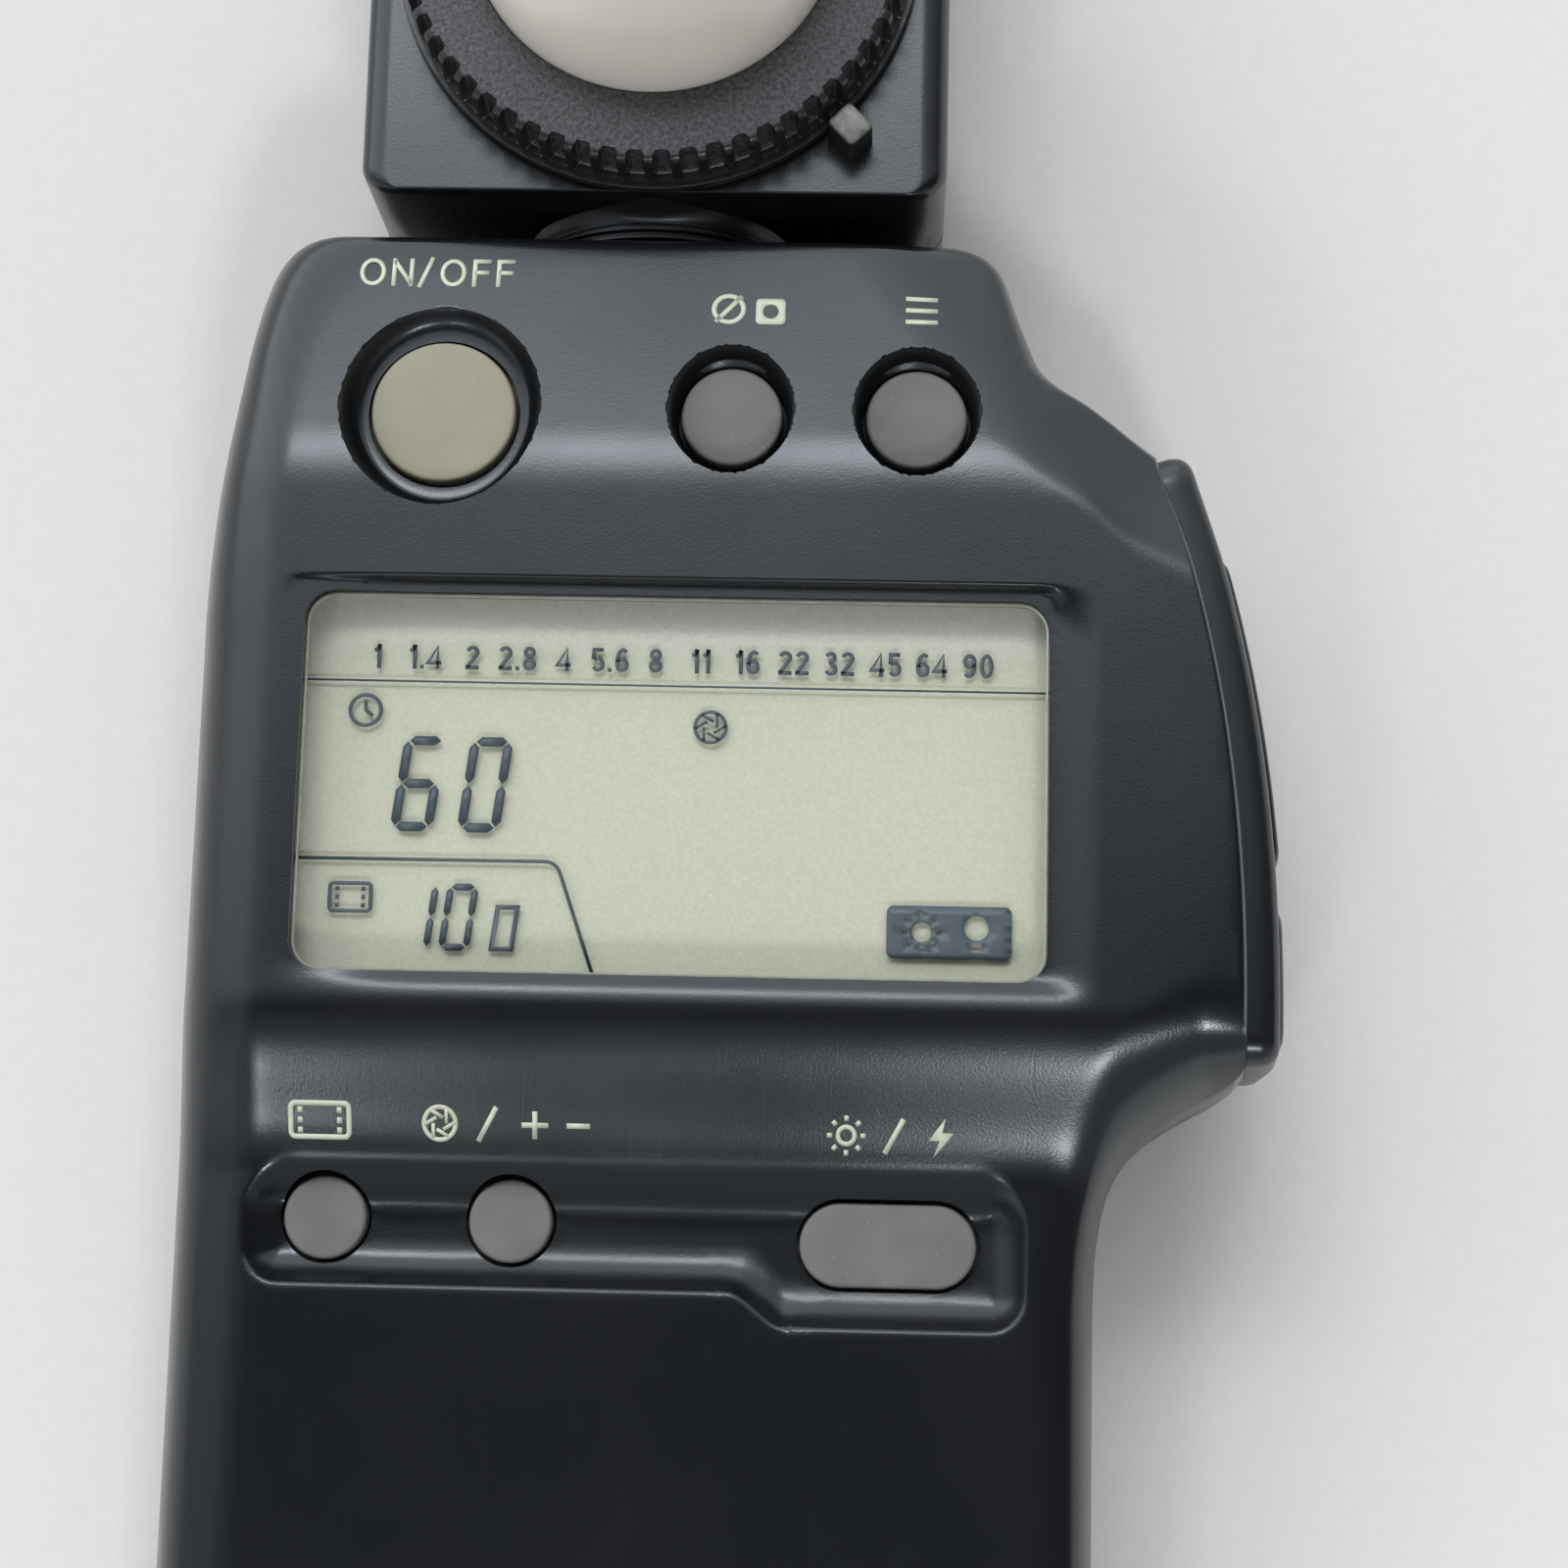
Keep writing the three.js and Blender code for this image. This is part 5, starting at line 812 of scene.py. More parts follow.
def bars(x, y, inner, outer, width, count, start=0.0):
    """Short straight strokes round a middle, such as a sun's rays."""
    turn = start + np.arange(count) * 2 * np.pi / count
    ray = np.column_stack([np.cos(turn), np.sin(turn)])
    return [stroke([(x, y) + r * inner, (x, y) + r * outer], width) for r in ray]


def cut_out(outline, holes):
    """A flat shape with openings."""
    low, high = outline.min(axis=0), outline.max(axis=0)
    grid = gridded(*[np.arange(a + 0.3, b, 0.6) for a, b in zip(low, high)])
    return tiled([outline] + holes, grid, 0.2)[:2]


def iris_sign(x, y, radius, width):
    """A round opening between six leaves, the sign for an aperture."""
    turn = np.arange(6) * np.pi / 3
    inner = (x, y) + 0.42 * radius * np.column_stack([np.cos(turn), np.sin(turn)])
    outer = (x, y) + radius * np.column_stack([np.cos(turn + 1.15), np.sin(turn + 1.15)])
    return [stroke(circle(x, y, radius), width, True)] + [stroke(pair, width * 0.8) for pair in zip(inner, outer)]


def film_sign(x, y, width, height, line):
    """A film frame with its edge holes, the sign for film speed."""
    shapes = [stroke(rounded_box(x - width / 2, y - height / 2, x + width / 2, y + height / 2, line), line, True)]
    for side in (-1, 1):
        row = x + side * (width / 2 - 1.9 * line)
        shapes += [stroke([(row - line / 2, y + k), (row + line / 2, y + k)], line * 1.1)
                   for k in np.linspace(-0.3, 0.3, 3) * height]
    return shapes


# The display's content: a scale of f-numbers with its rule, clock and iris signs, a large and a
# small reading, a film sign under a divider, and a sun and lamp cut out of a badge
scale_row = {"1": -22.04, "1.4": -19.09, "2": -16.17, "2.8": -13.39, "4": -10.54, "5.6": -7.69, "8": -4.88,
             "11": -2.11, "16": 0.76, "22": 3.6, "32": 6.4, "45": 9.26, "64": 12.06, "90": 14.91}
art = sum([set_text(words, x, 5.71, 1.5, 0.25) for words, x in scale_row.items()], [])
art.append(stroke([(lcd_left, 4.18), (lcd_right, 4.08)], 0.13))
art += [stroke(circle(-22.6, 2.3, 0.95), 0.24, True), stroke([(-22.6, 2.9), (-22.6, 2.3), (-22.15, 1.95)], 0.22)]
art += iris_sign(-1.4, 1.6, 0.95, 0.22)
art.append(seven_segments("60", -20.5, -4.9, 2.05, 5.35, 4.09, 0.58, 0.12))
art.append(seven_segments("10", -19.75, -12.25, 1.5, 3.68, 2.42, 0.43, 0.12))
art.append(stroke([(-14.3, -12.3), (-13.1, -12.3), (-12.78, -9.76), (-13.98, -9.76)], 0.3, True))
art += film_sign(-23.0, -9.3, 2.5, 1.7, 0.24)
divider = bent([(-11.3, -6.9), (-10.5, -6.9), (-10.25, -7.7)], 6)
art.append(stroke(np.concatenate([[(lcd_left, -6.94)], divider, [(-10.25, -7.7), (-7.95, -14.2)]]), 0.22))
badge = rounded_box(9.58, -12.39, 17.13, -9.17, 0.45)
sun_x, lamp_x, badge_y = 11.7, 15.0, -10.78
rays = [r[0][[0, 1, 3, 2]] for r in bars(sun_x, badge_y, 0.85, 1.2, 0.26, 8)]
lamp = circle(lamp_x, badge_y + 0.3, 0.75, 20)
foot = np.array([(-0.38, -0.72), (0.38, -0.72), (0.38, -1.15), (-0.38, -1.15)]) + [lamp_x, badge_y]
art.append(cut_out(badge, [circle(sun_x, badge_y, 0.6, 20), lamp, foot[::-1]] + rays))
printed("lcd_segments", art, lcd_top - 0.03, ink, "case", "lcd")


# Printing on the cover: pale green-grey pad-printed signs, slightly worn at their edges. Plain
# signs stand for average, memory, film speed, aperture, correction and kind of light.
pale_ink = mottled("pale pad-printing ink", 1500.0, 3.0, "#aeb2a0", "#d2d6c2", 0.55)


def printed_level(x, y):
    """Just proud of the cover's face."""
    return face_level(x, y) + 0.005


line = 0.3
signs = set_text("ON/OFF", -19.4, 30.45, 1.95, 0.27, 0.2)
signs += [stroke(circle(-0.95, 28.15, 0.92), line, True), stroke([(-1.75, 27.25), (-0.15, 29.05)], line)]
signs.append(cut_out(rounded_box(0.75, 27.1, 2.6, 28.9, 0.3), [circle(1.68, 28.0, 0.5, 16)]))
signs += [stroke([(10.1, 28.25 + k), (12.1, 28.25 + k)], line) for k in (-0.82, 0, 0.82)]
signs += film_sign(-24.1, -22.85, 3.5, 1.95, line)
signs += iris_sign(-16.9, -22.9, 0.95, 0.26)
signs += [stroke([(-14.6, -23.9), (-13.5, -21.9)], line), stroke([(-12.0, -22.9), (-10.4, -22.9)], line),
          stroke([(-11.2, -23.7), (-11.2, -22.1)], line), stroke([(-9.3, -22.9), (-7.9, -22.9)], line)]
signs += [stroke(circle(7.4, -23.1, 0.5, 20), 0.26, True)] + bars(7.4, -23.1, 0.85, 1.15, 0.26, 8)
signs.append(stroke([(9.7, -24.1), (10.8, -22.1)], line))
bolt = np.array([(13.3, -22.0), (12.3, -23.3), (12.95, -23.3), (12.6, -24.3), (13.8, -22.85), (13.1, -22.85)])
signs.append((bolt, [[0, 1, 2, 5], [2, 3, 4, 5]]))
printed("cover_signs", signs, printed_level, pale_ink, "case", "case", 0.025)


# Side strip: a separate smooth black moulding with rounded edges, clipped on along the seam, with
# openings for the rocker and the measuring button.
strip_thick, strip_low, strip_high, strip_round = 2.05, 4.6, 20.4, 1.2
key_middle, seam_length = 12.6, float(np.hypot(*np.diff(seam_at(np.linspace(0, 1, 400)), axis=0).T).sum())
# Rocker and measuring button: the seam's share at both ends, and half their height
rocker_share, measure_share = (0.34, 0.83, 3.6), (0.05, 0.265, 5.2)
gloss_black = grained_plastic("smooth black ABS, satin", "#101215", "#191b1e", 0.3, 0.4, 0.003, 0.15)


def box_distance(x, y, left, bottom, right, top, corner):
    """Distance inside a rectangle with round corners, negative outside it."""
    dx = np.abs(x - (left + right) / 2) - (right - left) / 2 + corner
    dy = np.abs(y - (bottom + top) / 2) - (top - bottom) / 2 + corner
    return corner - np.hypot(np.maximum(dx, 0), np.maximum(dy, 0)) - np.minimum(np.maximum(dx, dy), 0)


def beside_seam(run, height, reach):
    """Points at a run along the seam, a height, and a reach outside it."""
    t = np.asarray(run, float) / seam_length
    near, past = seam_at(t - 0.002), seam_at(t + 0.002)
    along = (past - near) / np.linalg.norm(past - near, axis=1)[:, None]
    plan = seam_at(t) + np.column_stack([along[:, 1], -along[:, 0]]) * np.asarray(reach)[..., None]
    return leaned(np.column_stack([plan, np.broadcast_to(height, len(plan))]))


def rounded_off(inward, radius):
    """How far a rounded edge drops at a distance inside the outline: a quarter of a circle."""
    t = np.clip(inward / radius, 0, 1)
    return radius * (1 - np.sqrt(1 - (1 - t) ** 2))


def seam_panel(name, box, corner, reach, base, round_edge, holes, material, body, slot, *nodes):
    """A sheet in run and height, bent along the seam, with its edges rounded down to its base."""
    insets = round_edge * (1 - np.cos(np.radians([0, 15, 30, 45, 60, 75, 90])))[::-1]
    outline = rounded_box(*box, corner, 0, 0.5)
    rings = [rounded_box(box[0] + i, box[1] + i, box[2] - i, box[3] - i, max(corner - i, 0.3), 0, 0.5)
             for i in insets[:-1]]
    grid = gridded(np.arange(box[0], box[2], 0.8), np.arange(box[1], box[3], 0.8))
    grid = grid[box_distance(*grid.T, *box, corner) > round_edge + 0.3]
    loops = [outline] + [rounded_box(*h, 0.8, 0, 0.5) for h in holes]
    plan, tiles, starts = tiled(loops, np.concatenate(rings + [grid]), 0.15)
    drop = rounded_off(box_distance(*plan.T, *box, corner), round_edge)
    points = [beside_seam(plan[:, 0], plan[:, 1], reach - drop)]
    faces, count = tiles.tolist(), len(plan)
    for k, (a, b) in enumerate(zip(starts, starts[1:])):
        loop = np.arange(a, b)
        points.append(beside_seam(plan[loop, 0], plan[loop, 1], np.full(len(loop), base)))
        wall = strip(loop, count + np.arange(len(loop)))
        faces += (wall if k else wall[:, ::-1]).tolist()
        count += len(loop)
    if not holes:
        faces.append(list(range(count - 1, count - 1 - len(outline), -1)))
    return finish(mesh_piece(name, np.concatenate(points), faces, material, 40), body, slot, *nodes)


def share_box(low, high, half, grow=0.0):
    """A box in run and height between two shares of the seam, round the side keys' middle."""
    return (low * seam_length - grow, key_middle - half - grow, high * seam_length + grow, key_middle + half + grow)


seam_panel("side_strip", (0.018 * seam_length, strip_low, seam_length, strip_high), 1.6, strip_thick, 0.06,
           strip_round, [share_box(*rocker_share, 0.12), share_box(*measure_share, 0.12)], gloss_black, "case",
           "side_keys", "side_panel")
seam_panel("rocker_cap", share_box(*rocker_share), 1.2, strip_thick + 0.45, 0.8, 0.6, [], gloss_black, "rocker",
           "side_keys", "up_down_rocker")
seam_panel("measuring_cap", share_box(*measure_share), 1.6, strip_thick + 0.29, 0.8, 0.7, [], gloss_black,
           "measuring_key", "side_keys", "measuring_button")


# Rear cover: the flat back and lower half of the case in the same satin ABS, its outer edge
# well rounded for the palm, with a slot that the battery door slides in.
def eased_copy(name, source, width, material, body, slot, angle=30, steps=2):
    """A CAD node's mesh with its doubles merged and its edges eased, in the node's place."""
    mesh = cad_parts[source].data.copy()
    mesh.name = name
    form = bmesh.new()
    form.from_mesh(mesh)
    bmesh.ops.remove_doubles(form, verts=form.verts, dist=0.002 * MM)
    bmesh.ops.dissolve_limit(form, angle_limit=math.radians(1), verts=form.verts, edges=form.edges)
    form.to_mesh(mesh)
    form.free()
    mesh.shade_smooth()
    mesh.set_sharp_from_angle(angle=math.radians(35))
    mesh.materials.clear()
    mesh.materials.append(material)
    piece = linked(name, mesh)
    ease = piece.modifiers.new("eased edges", "BEVEL")
    ease.width, ease.segments, ease.limit_method, ease.angle_limit = width * MM, steps, "ANGLE", math.radians(angle)
    return finish(piece, body, slot, source)


eased_copy("rear_case", "rear_cover", 0.1, body_plastic, "case", "case", 40, 1)
eased_copy("door_cap", "battery_door", 0.12, body_plastic, "door", "case")


# Neck: a flanged bush in the case's top end, and the head's own neck that turns in it. The neck
# widens to a round boss whose front is drawn up to the head's lower face edge.
neck_x, neck_z = -6.1, 11.25
black_moulding = grained_plastic("black moulded nylon", "#0d0e10", "#15161a", 0.38, 0.3, 0.004, 0.1)


def turned(profile, x, y, count=96, along="z", swell=None):
    """A profile of radius and distance carried round an axis; it closes on itself or at its poles."""
    profile = np.asarray(profile, float)
    turn = np.arange(count) * 2 * np.pi / count
    radius, far = np.repeat(profile[:, :1], count, axis=1), np.repeat(profile[:, 1:2], count, axis=1)
    if swell is not None:
        radius = radius + swell(profile, turn)
    across, up = radius * np.cos(turn), radius * np.sin(turn)
    if along == "z":
        points = np.stack([x + across, y + up, far], axis=-1)
    else:
        points = np.stack([x + across, far, y - up], axis=-1)
    closed = profile[0, 0] > 0.05
    faces = wrapped(count, len(profile), closed).tolist()
    if not closed:
        number = np.arange(count)
        faces += [number[::-1].tolist(), (number + (len(profile) - 1) * count).tolist()]
    return points.reshape(-1, 3), faces


collar_line = eased([(6.6, 29.5), (7.7, 29.5), (7.7, 33.85), (8.6, 33.85), (8.6, 34.12), (8.25, 34.16), (8.25, 34.38),
                     (8.6, 34.42), (8.6, 34.78), (6.6, 34.78)], 0.06, 3)
finish(mesh_piece("neck_bush", *turned(collar_line, neck_x, neck_z, 128, "y"), black_moulding),
       "case", "ring", "neck_collar")

boss_from, boss_top, flare_rows = 34.98, 35.97, 12


def boss_swell(profile, turn):
    """The boss widens towards the head, most at the front: a narrow fairing on top of a round."""
    share = np.clip((profile[:, 1:2] - boss_from) / (boss_top - boss_from), 0, 1)
    lifted = (profile[:, :1] > 7) * share ** 1.8
    aside = np.degrees(np.abs((turn - 1.5 * np.pi + np.pi) % (2 * np.pi) - np.pi))
    return lifted * (1.6 * np.exp(-(aside / 15) ** 1.5))


flare = np.column_stack([np.full(flare_rows, 8.35), np.linspace(boss_from, boss_top, flare_rows)])
flare[:, 0] += 0.25 * np.linspace(0, 1, flare_rows) ** 2
neck_line = np.concatenate([[(4.2, 28.05), (6.3, 28.05), (6.3, 34.9), (8.3, 34.9)], flare,
                            [(8.5, 36.0), (6.3, 36.0), (6.3, 39.7), (4.2, 39.7)]])
finish(mesh_piece("neck_boss", *turned(neck_line, neck_x, neck_z, 144, "y", boss_swell), black_moulding),
       "head", "ring", "neck_tube")


# Head: a rounded block in two shells of smooth satin ABS, screwed together from the back. Its
# face edge is crisp where the flat meets the round, and its mould gave the face a fine grain.
head_half, head_low, head_top = 18.7, 36.0, 74.5
head_left, head_right = neck_x - head_half, neck_x + head_half
head_face, head_back, head_parting, head_round, head_corner = 22.0, 0.5, 10.5, 1.8, 2.3
socket_y = head_low + 16.7
head_plastic = grained_plastic("satin black ABS, head", "#0a0b0c", "#121315", 0.27, 0.18, 0.006, 0.1)


def head_rows(face, parting, edge, corner_at_face=0.9):
    """Rows of the head's outline from its parting to its face; the rounding is a quarter circle
    that is drawn in less at the head's lower end."""
    sense = 1 if face > parting else -1
    rows = []
    for turn, z in [(0, parting), (0, parting + sense * 0.1), (0, face - sense * (edge + 3))] + \
            [(math.radians(a), None) for a in (0, 12, 24, 36, 48, 60, 72, 84, 90)]:
        inset = edge * (1 - math.cos(turn))
        if z is None:
            z = face - sense * edge * (1 - math.sin(turn))
        corner = head_corner - (head_corner - corner_at_face) * inset / edge
        if z == parting:
            inset = 0.08
        plan = rounded_box(head_left + inset, head_low + 0.1 * inset, head_right - inset, head_top - inset, corner,
                           turns=13, count=30)
        fall = 0.5 + 0.5 * np.clip((plan[:, 1] - head_low) / head_corner, 0, 1)
        level = np.full(len(plan), z) if abs(face - z) > edge + 1 else face - (face - z) * fall
        rows.append(np.column_stack([plan, level]))
    return rows


def head_shell(name, face, parting, edge, holes, node_name):
    """A shell from its parting to its face, with round holes, thickened inwards."""
    rows = head_rows(face, parting, edge)
    count = len(rows[0])
    grid = gridded(np.arange(head_left + 2.5, head_right - 2.2, 1.2), np.arange(head_low + 2.5, head_top - 2.2, 1.2))
    rim = rows[-1][:, :2]
    beside = np.concatenate([rim - outward(rim) * inset for inset in (0.12, 0.4)])
    plan, tiles, _ = tiled([rim] + holes, np.concatenate([beside, grid]), 0.1)
    points = np.concatenate(rows + [np.column_stack([plan[count:], np.full(len(plan) - count, face)])])
    faces = wrapped(count, len(rows)).tolist() + (tiles + (len(rows) - 1) * count).tolist()
    if face < parting:
        faces = [f[::-1] for f in faces]
    piece = mesh_piece(name, points, faces, head_plastic, 30)
    wall = piece.modifiers.new("wall", "SOLIDIFY")
    wall.thickness, wall.offset = 1.5 * MM, -1.0
    return finish(piece, "head", "head", node_name)


head_shell("head_front", head_face, head_parting + 0.12, head_round,
           [stadium(neck_x, socket_y, 12.2, 0, 96)], "head_front_shell")
head_shell("head_rear", head_back, head_parting, head_round,
           [stadium(neck_x + side * 14.6, 69.5, 2.1, 0, 32) for side in (-1, 1)], "head_rear_shell")

# Bayonet socket and index lug: black mouldings fixed in the face; the lug's top is rubbed grey
socket_line = eased([(11.2, 20.8), (12.05, 20.8), (12.05, 22.03), (13.8, 22.03), (13.8, 24.1), (11.2, 24.1)], 0.1, 3)
finish(mesh_piece("bayonet_ring", *turned(socket_line, neck_x, socket_y), black_moulding),
       "head", "moulding", "bayonet_socket")

rubbed, tree, place = blank_material("black ABS, top rubbed grey")
split = node(tree, "SeparateXYZ", {"Vector": place})
patch = node(tree, "TexNoise", {"Vector": place, "Scale": 1400.0, "Detail": 4.0})
height = node(tree, "MapRange", [split.outputs["Z"], 24.55 * MM, 24.78 * MM])
bare = node(tree, "MapRange", [patch, 0.35, 0.6, 0.45])
wear = node(tree, "Math", [height, bare], operation="MULTIPLY")
bump = node(tree, "Bump", {"Height": patch, "Distance": 0.03 * MM})
surfaced(tree, wear, "#121315", "#74756f", {"Roughness": 0.45, "Normal": bump})
lug_turn = math.radians(-46)
spin = np.array([[math.cos(lug_turn), math.sin(lug_turn)], [-math.sin(lug_turn), math.cos(lug_turn)]])
lug_line = [(0.0, 21.3), (0.0, 24.5), (0.05, 24.66), (0.14, 24.76), (0.3, 24.8)]
lug_rows = [rounded_box(16.87 + inset, -1 + inset, 19.17 - inset, 1 - inset, 0.32, 0, 50) @ spin + [neck_x, socket_y]
            for inset, _ in lug_line]
finish(mesh_piece("lug", *stacked(lug_rows, [z for _, z in lug_line]), rubbed), "head", "ring", "index_lug")


# Diffuser: a knurled ring that the fingers turn, with a coarse spark-eroded grain on its flat
# face, holding a smooth milk-white acrylic dome.
ring_teeth, tooth_depth, steps_per_tooth = 60, 0.8, 16
ring_line = np.array([(14.3, 22.3), (16.75, 22.3), (16.75, 22.95), (16.7, 23.0), (16.42, 23.0), (16.4, 23.3),
                      (16.4, 23.32), (16.4, 23.4), (16.4, 24.4), (16.4, 25.6), (16.38, 25.9), (16.28, 26.2),
                      (16.1, 26.34), (15.85, 26.4), (15.6, 26.4), (15.5, 26.4), (13.6, 26.4), (11.95, 26.4),
                      (11.8, 26.33), (11.74, 26.2), (11.74, 25.6), (14.3, 25.6)])
knurl_share = np.array([0] * 7 + [1] * 4 + [0.95, 0.75, 0.35] + [0] * 8)


def knurl_swell(profile, turn):
    """Grooves between the teeth: flat bottoms, steep sides, ending above the flange."""
    share = (turn * ring_teeth / (2 * np.pi)) % 1
    groove = smooth(share, 0.17, 0.3) * (1 - smooth(share, 0.76, 0.89))
    return -tooth_depth * knurl_share[:, None] * groove


ring_black, tree, place = blank_material("black ABS, coarse spark-eroded face")
centred = node(tree, "Mapping", {"Vector": place, "Location": (-neck_x * MM, -socket_y * MM, 0.0)})
flat = node(tree, "VectorMath", [centred, (1.0, 1.0, 0.0)], operation="MULTIPLY")
away = node(tree, "VectorMath", [flat], operation="LENGTH").outputs["Value"]
on_face = node(tree, "MapRange", [away, 15.95 * MM, 15.8 * MM])
pits = node(tree, "TexNoise", {"Vector": place, "Scale": 1 / (0.3 * MM), "Detail": 4.0, "Roughness": 0.7})
heap = node(tree, "Math", [pits, on_face], operation="MULTIPLY")
bump = node(tree, "Bump", {"Height": heap, "Distance": 0.15 * MM})
speckle = node(tree, "MapRange", [pits, 0.38, 0.68])
mottle = node(tree, "Math", [speckle, on_face], operation="MULTIPLY")
surfaced(tree, mottle, "#1a1b1e", "#515357", {"Roughness": 0.32, "Normal": bump})
finish(mesh_piece("knurled_ring", *turned(ring_line, neck_x, socket_y, ring_teeth * steps_per_tooth, "z",
                                          knurl_swell), ring_black), "diffuser", "ring", "diffuser_ring")

milk, tree, place = blank_material("milk-white diffusing acrylic")
haze = node(tree, "TexNoise", {"Vector": place, "Scale": 120.0, "Detail": 4.0})
gloss = node(tree, "MapRange", [haze, 0.3, 0.7, 0.2, 0.23])
surfaced(tree, haze, "#d3cdc4", "#dad3ca", {"Roughness": gloss, "IOR": 1.49, "Subsurface Weight": 0.25,
                                            "Subsurface Scale": 0.004, "Subsurface Radius": (1.0, 0.9, 0.8)})
dome_base, dome_radius, dome_wall = 26.4, 11.7, 1.2
lift = np.radians(np.linspace(90, 0, 40))
outer_dome, inner_dome = [np.column_stack([r * np.cos(lift), dome_base + (r - 0.3) * np.sin(lift)])
                          for r in (dome_radius, dome_radius - dome_wall)]
outer_dome[0, 0] = inner_dome[0, 0] = 0.02
dome_line = np.concatenate([outer_dome, [(dome_radius, 25.4), (14.0, 25.4), (14.0, 24.6), (10.5, 24.6)],
                            inner_dome[::-1]])
finish(mesh_piece("dome", *turned(dome_line[::-1], neck_x, socket_y, 128), milk, 50),
       "diffuser", "dome", "diffuser_dome")


# Fixings and contacts: drawn or turned metal, bright where it was cut and duller where it has
# aged. Each is the CAD solid itself, given the finish of its real material.
def dress(material, *names):
    """Give CAD nodes that stay in view a material of their own."""
    for name in names:
        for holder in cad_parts[name].material_slots:
            holder.link, holder.material = "OBJECT", material


def worked_metal(name, colour, dull, roughness, stretch=(1.0, 1.0, 1.0), size=0.5, depth=0.004):
    """Metal whose marks are noise drawn out along one axis, with a broader tarnish in its colour."""
    material, tree, place = blank_material(name)
    drawn = node(tree, "Mapping", {"Vector": place, "Scale": stretch})
    marks = node(tree, "TexNoise", {"Vector": drawn, "Scale": 1 / (size * MM), "Detail": 3.0})
    aged = node(tree, "TexNoise", {"Vector": place, "Scale": 260.0, "Detail": 4.0})
    tarnish = node(tree, "MapRange", [aged, 0.4, 0.7])
    gloss = node(tree, "MapRange", [marks, 0.3, 0.7, roughness - 0.06, roughness + 0.1])
    bump = node(tree, "Bump", {"Height": marks, "Distance": depth * MM})
    surfaced(tree, tarnish, colour, dull, {"Roughness": gloss, "Metallic": 1.0, "Normal": bump})
    return material


zinc = worked_metal("zinc-plated steel screw", "#a9abac", "#7f8183", 0.32)
nickel = worked_metal("nickel-plated turned brass", "#b9b5aa", "#8f8b80", 0.22, (0.25, 1.0, 0.25), 0.3)
polished = worked_metal("drawn stainless pin", "#c3c4c5", "#9c9d9f", 0.2, (0.05, 1.0, 1.0), 0.2, 0.003)
spring_steel = worked_metal("rolled spring steel", "#9b9c9d", "#6f7173", 0.3, (1.0, 0.06, 1.0), 0.25, 0.003)
gilt = worked_metal("gold-plated brass contact", "#c9a650", "#a5843c", 0.24, (1.0, 0.2, 1.0), 0.3)
bronze = worked_metal("phosphor bronze leaf", "#b98455", "#8a5f3c", 0.3, (0.08, 1.0, 1.0), 0.3)
dress(zinc, "case_screw_1", "case_screw_2", "case_screw_3", "case_screw_4", "head_screw_1", "head_screw_2",
      "board_screw_1", "board_screw_2")
dress(nickel, "sync_sleeve", "positive_contact", "clock_crystal")
dress(polished, "strap_pin", "detent_ball")
dress(spring_steel, "retaining_clip", "contact_spring")
dress(gilt, "sync_pin")
dress(bronze, "detent_spring")


# Boards and chips: green solder mask over copper tracks with tinned pads, black epoxy packages, and
# the carbon-and-silicone strips and mats that join them to the display and the keys.
board_green, tree, place = blank_material("green solder mask over tracks")
skewed = node(tree, "Mapping", {"Vector": place, "Rotation": (0.0, 0.0, 0.785)})
tracks = node(tree, "TexBrick", {"Vector": skewed, "Color1": linear("#17623a"), "Color2": linear("#1b6b41"),
                                 "Mortar": linear("#0d4327"), "Scale": 120.0, "Mortar Size": 0.06,
                                 "Mortar Smooth": 0.2, "Brick Width": 0.9, "Row Height": 0.12})
pads = node(tree, "TexVoronoi", {"Vector": place, "Scale": 330.0, "Randomness": 0.45})
tinned = node(tree, "MapRange", [pads, 0.17, 0.15])
height = node(tree, "Math", [tracks.outputs["Fac"], -1.0, tinned], operation="MULTIPLY_ADD")
bump = node(tree, "Bump", {"Height": height, "Distance": 0.03 * MM})
surfaced(tree, tinned, tracks.outputs["Color"], "#b4b6b2", {"Roughness": 0.3, "Normal": bump, "Metallic": tinned})
dress(board_green, "main_board", "side_switch_board", "head_board")

epoxy = grained_plastic("black epoxy, matt moulded", "#161617", "#232324", 0.55, 0.12, 0.006, 0.0)
dress(epoxy, "processor_chip", "memory_chip", "buffer_capacitor")
mat_rubber = grained_plastic("dark silicone key mat", "#2c2d2e", "#3a3b3b", 0.62, 0.5, 0.008, 0.0)
dress(mat_rubber, "key_mat_upper", "key_mat_lower", "key_mat_mode")
holder_black = grained_plastic("black ABS, unpolished", "#131415", "#1d1e1f", 0.5, 0.3, 0.01, 0.2)
dress(holder_black, "lcd_holder", "cell_cup")
insulator_white = grained_plastic("white nylon insulator", "#d9d7cf", "#c4c2b8", 0.45, 0.3, 0.006, 0.1)
dress(insulator_white, "sync_insulator")

layered, tree, place = blank_material("silicone with carbon layers")
layers = node(tree, "TexWave", {"Vector": place, "Scale": 420.0, "Distortion": 0.3}, bands_direction="X")
flat = node(tree, "MapRange", [layers.outputs["Fac"], 0.45, 0.55])
surfaced(tree, flat, "#1d1d1e", "#8a8b88", {"Roughness": 0.6})
dress(layered, "zebra_connector_upper", "zebra_connector_lower")

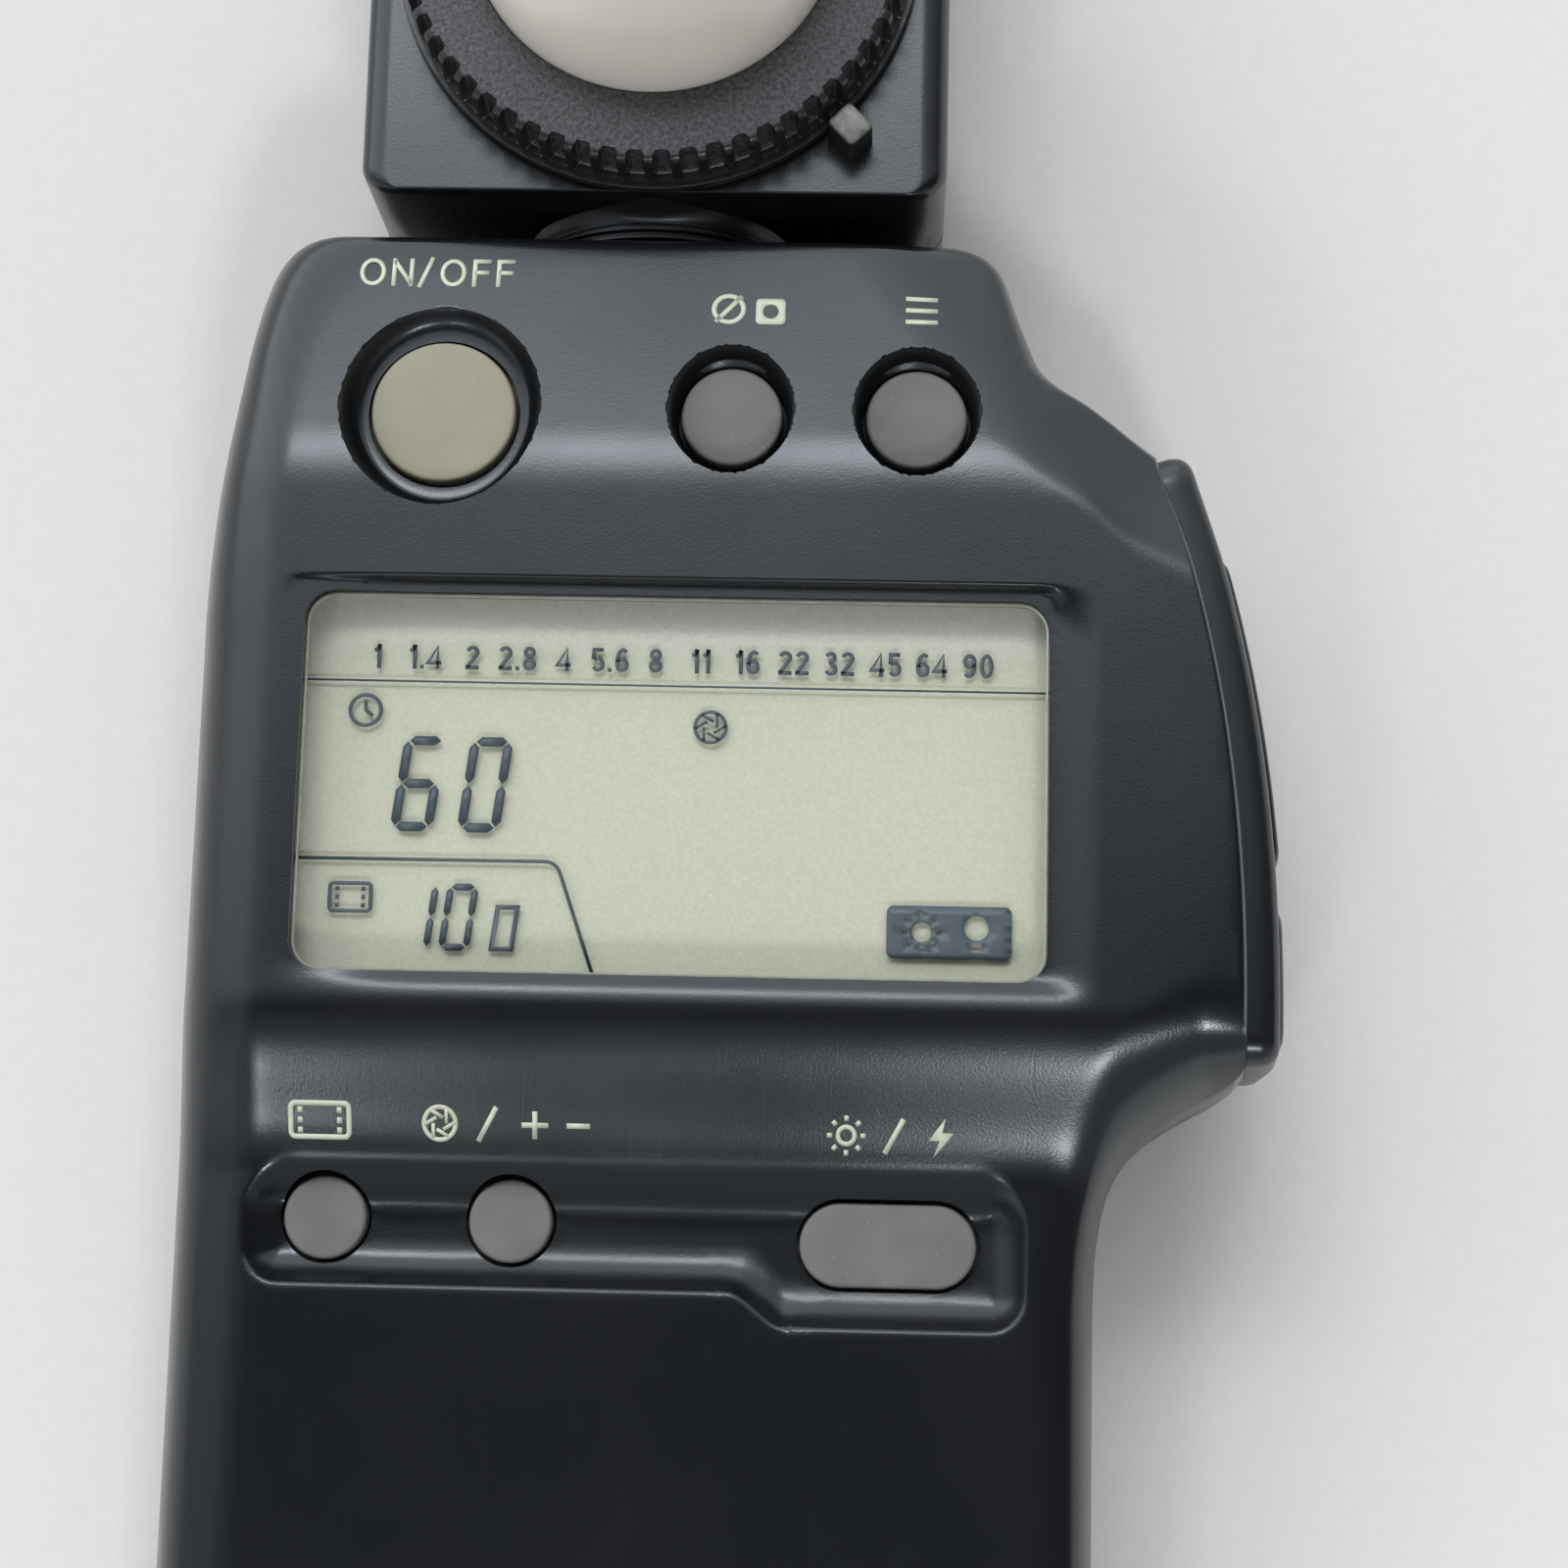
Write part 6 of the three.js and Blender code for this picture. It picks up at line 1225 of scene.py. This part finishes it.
# Sensor: a blue-green absorbing glass over a silicon cell, and the twisted pair that leads from it
silicon, tree, place = blank_material("silicon cell under clear resin")
fingers = node(tree, "TexWave", {"Vector": place, "Scale": 330.0}, bands_direction="Y")
grid_line = node(tree, "MapRange", [fingers.outputs["Fac"], 0.93, 0.97])
surfaced(tree, grid_line, "#1b2233", "#a7a9ab", {"Roughness": 0.22, "Coat Weight": 0.6, "Coat Roughness": 0.05,
                                                 "Metallic": grid_line})
dress(silicon, "photocell")

absorbing, tree, place = blank_material("blue-green filter glass, polished")
veil = node(tree, "TexNoise", {"Vector": place, "Scale": 140.0, "Detail": 3.0})
smear = node(tree, "MapRange", [veil, 0.35, 0.7, 0.03, 0.08])
surfaced(tree, veil, "#5f9f97", "#70ada4", {"Roughness": smear, "IOR": 1.54, "Alpha": 0.45})
dress(absorbing, "filter_glass")

pair, tree, place = blank_material("twisted pair, red and black PVC")
wound = node(tree, "Mapping", {"Vector": place, "Rotation": (0.6, 0.0, 0.5)})
twist = node(tree, "TexWave", {"Vector": wound, "Scale": 110.0}, bands_direction="Y").outputs["Fac"]
half_way = node(tree, "MapRange", [twist, 0.46, 0.54])
bump = node(tree, "Bump", {"Height": twist, "Distance": 0.2 * MM})
surfaced(tree, half_way, "#19191a", "#8e2320", {"Roughness": 0.4, "Normal": bump})
dress(pair, "sensor_wire")

# Battery and back plate: a plain printed sleeve with bare steel ends, and a blank brushed label
sleeve, tree, place = blank_material("AA cell: printed sleeve, steel ends")
along = node(tree, "SeparateXYZ", {"Vector": place}).outputs["Y"]
copper_end, above, below = [node(tree, "MapRange", [along, start * MM, full * MM])
                            for start, full in ((-33.0, -32.9), (-20.2, -20.1), (-67.2, -67.3))]
bare = node(tree, "Math", [above, below], operation="MAXIMUM")
wrap = node(tree, "TexNoise", {"Vector": place, "Scale": 420.0, "Detail": 3.0})
print_tint = node(tree, "Mix", {"Factor": copper_end, 6: linear("#15171a"), 7: linear("#a4643a")}, data_type="RGBA")
gloss = node(tree, "MapRange", [wrap, 0.3, 0.7, 0.22, 0.34])
metal = node(tree, "Math", [copper_end, 0.6, bare], operation="MULTIPLY_ADD", use_clamp=True)
surfaced(tree, bare, print_tint.outputs[2], "#b2b3b3", {"Roughness": gloss, "Metallic": metal})
dress(sleeve, "battery_cell")
dress(worked_metal("brushed aluminium label, blank", "#8f9193", "#77797b", 0.38, (0.04, 1.0, 1.0), 0.2, 0.004),
      "rating_plate")
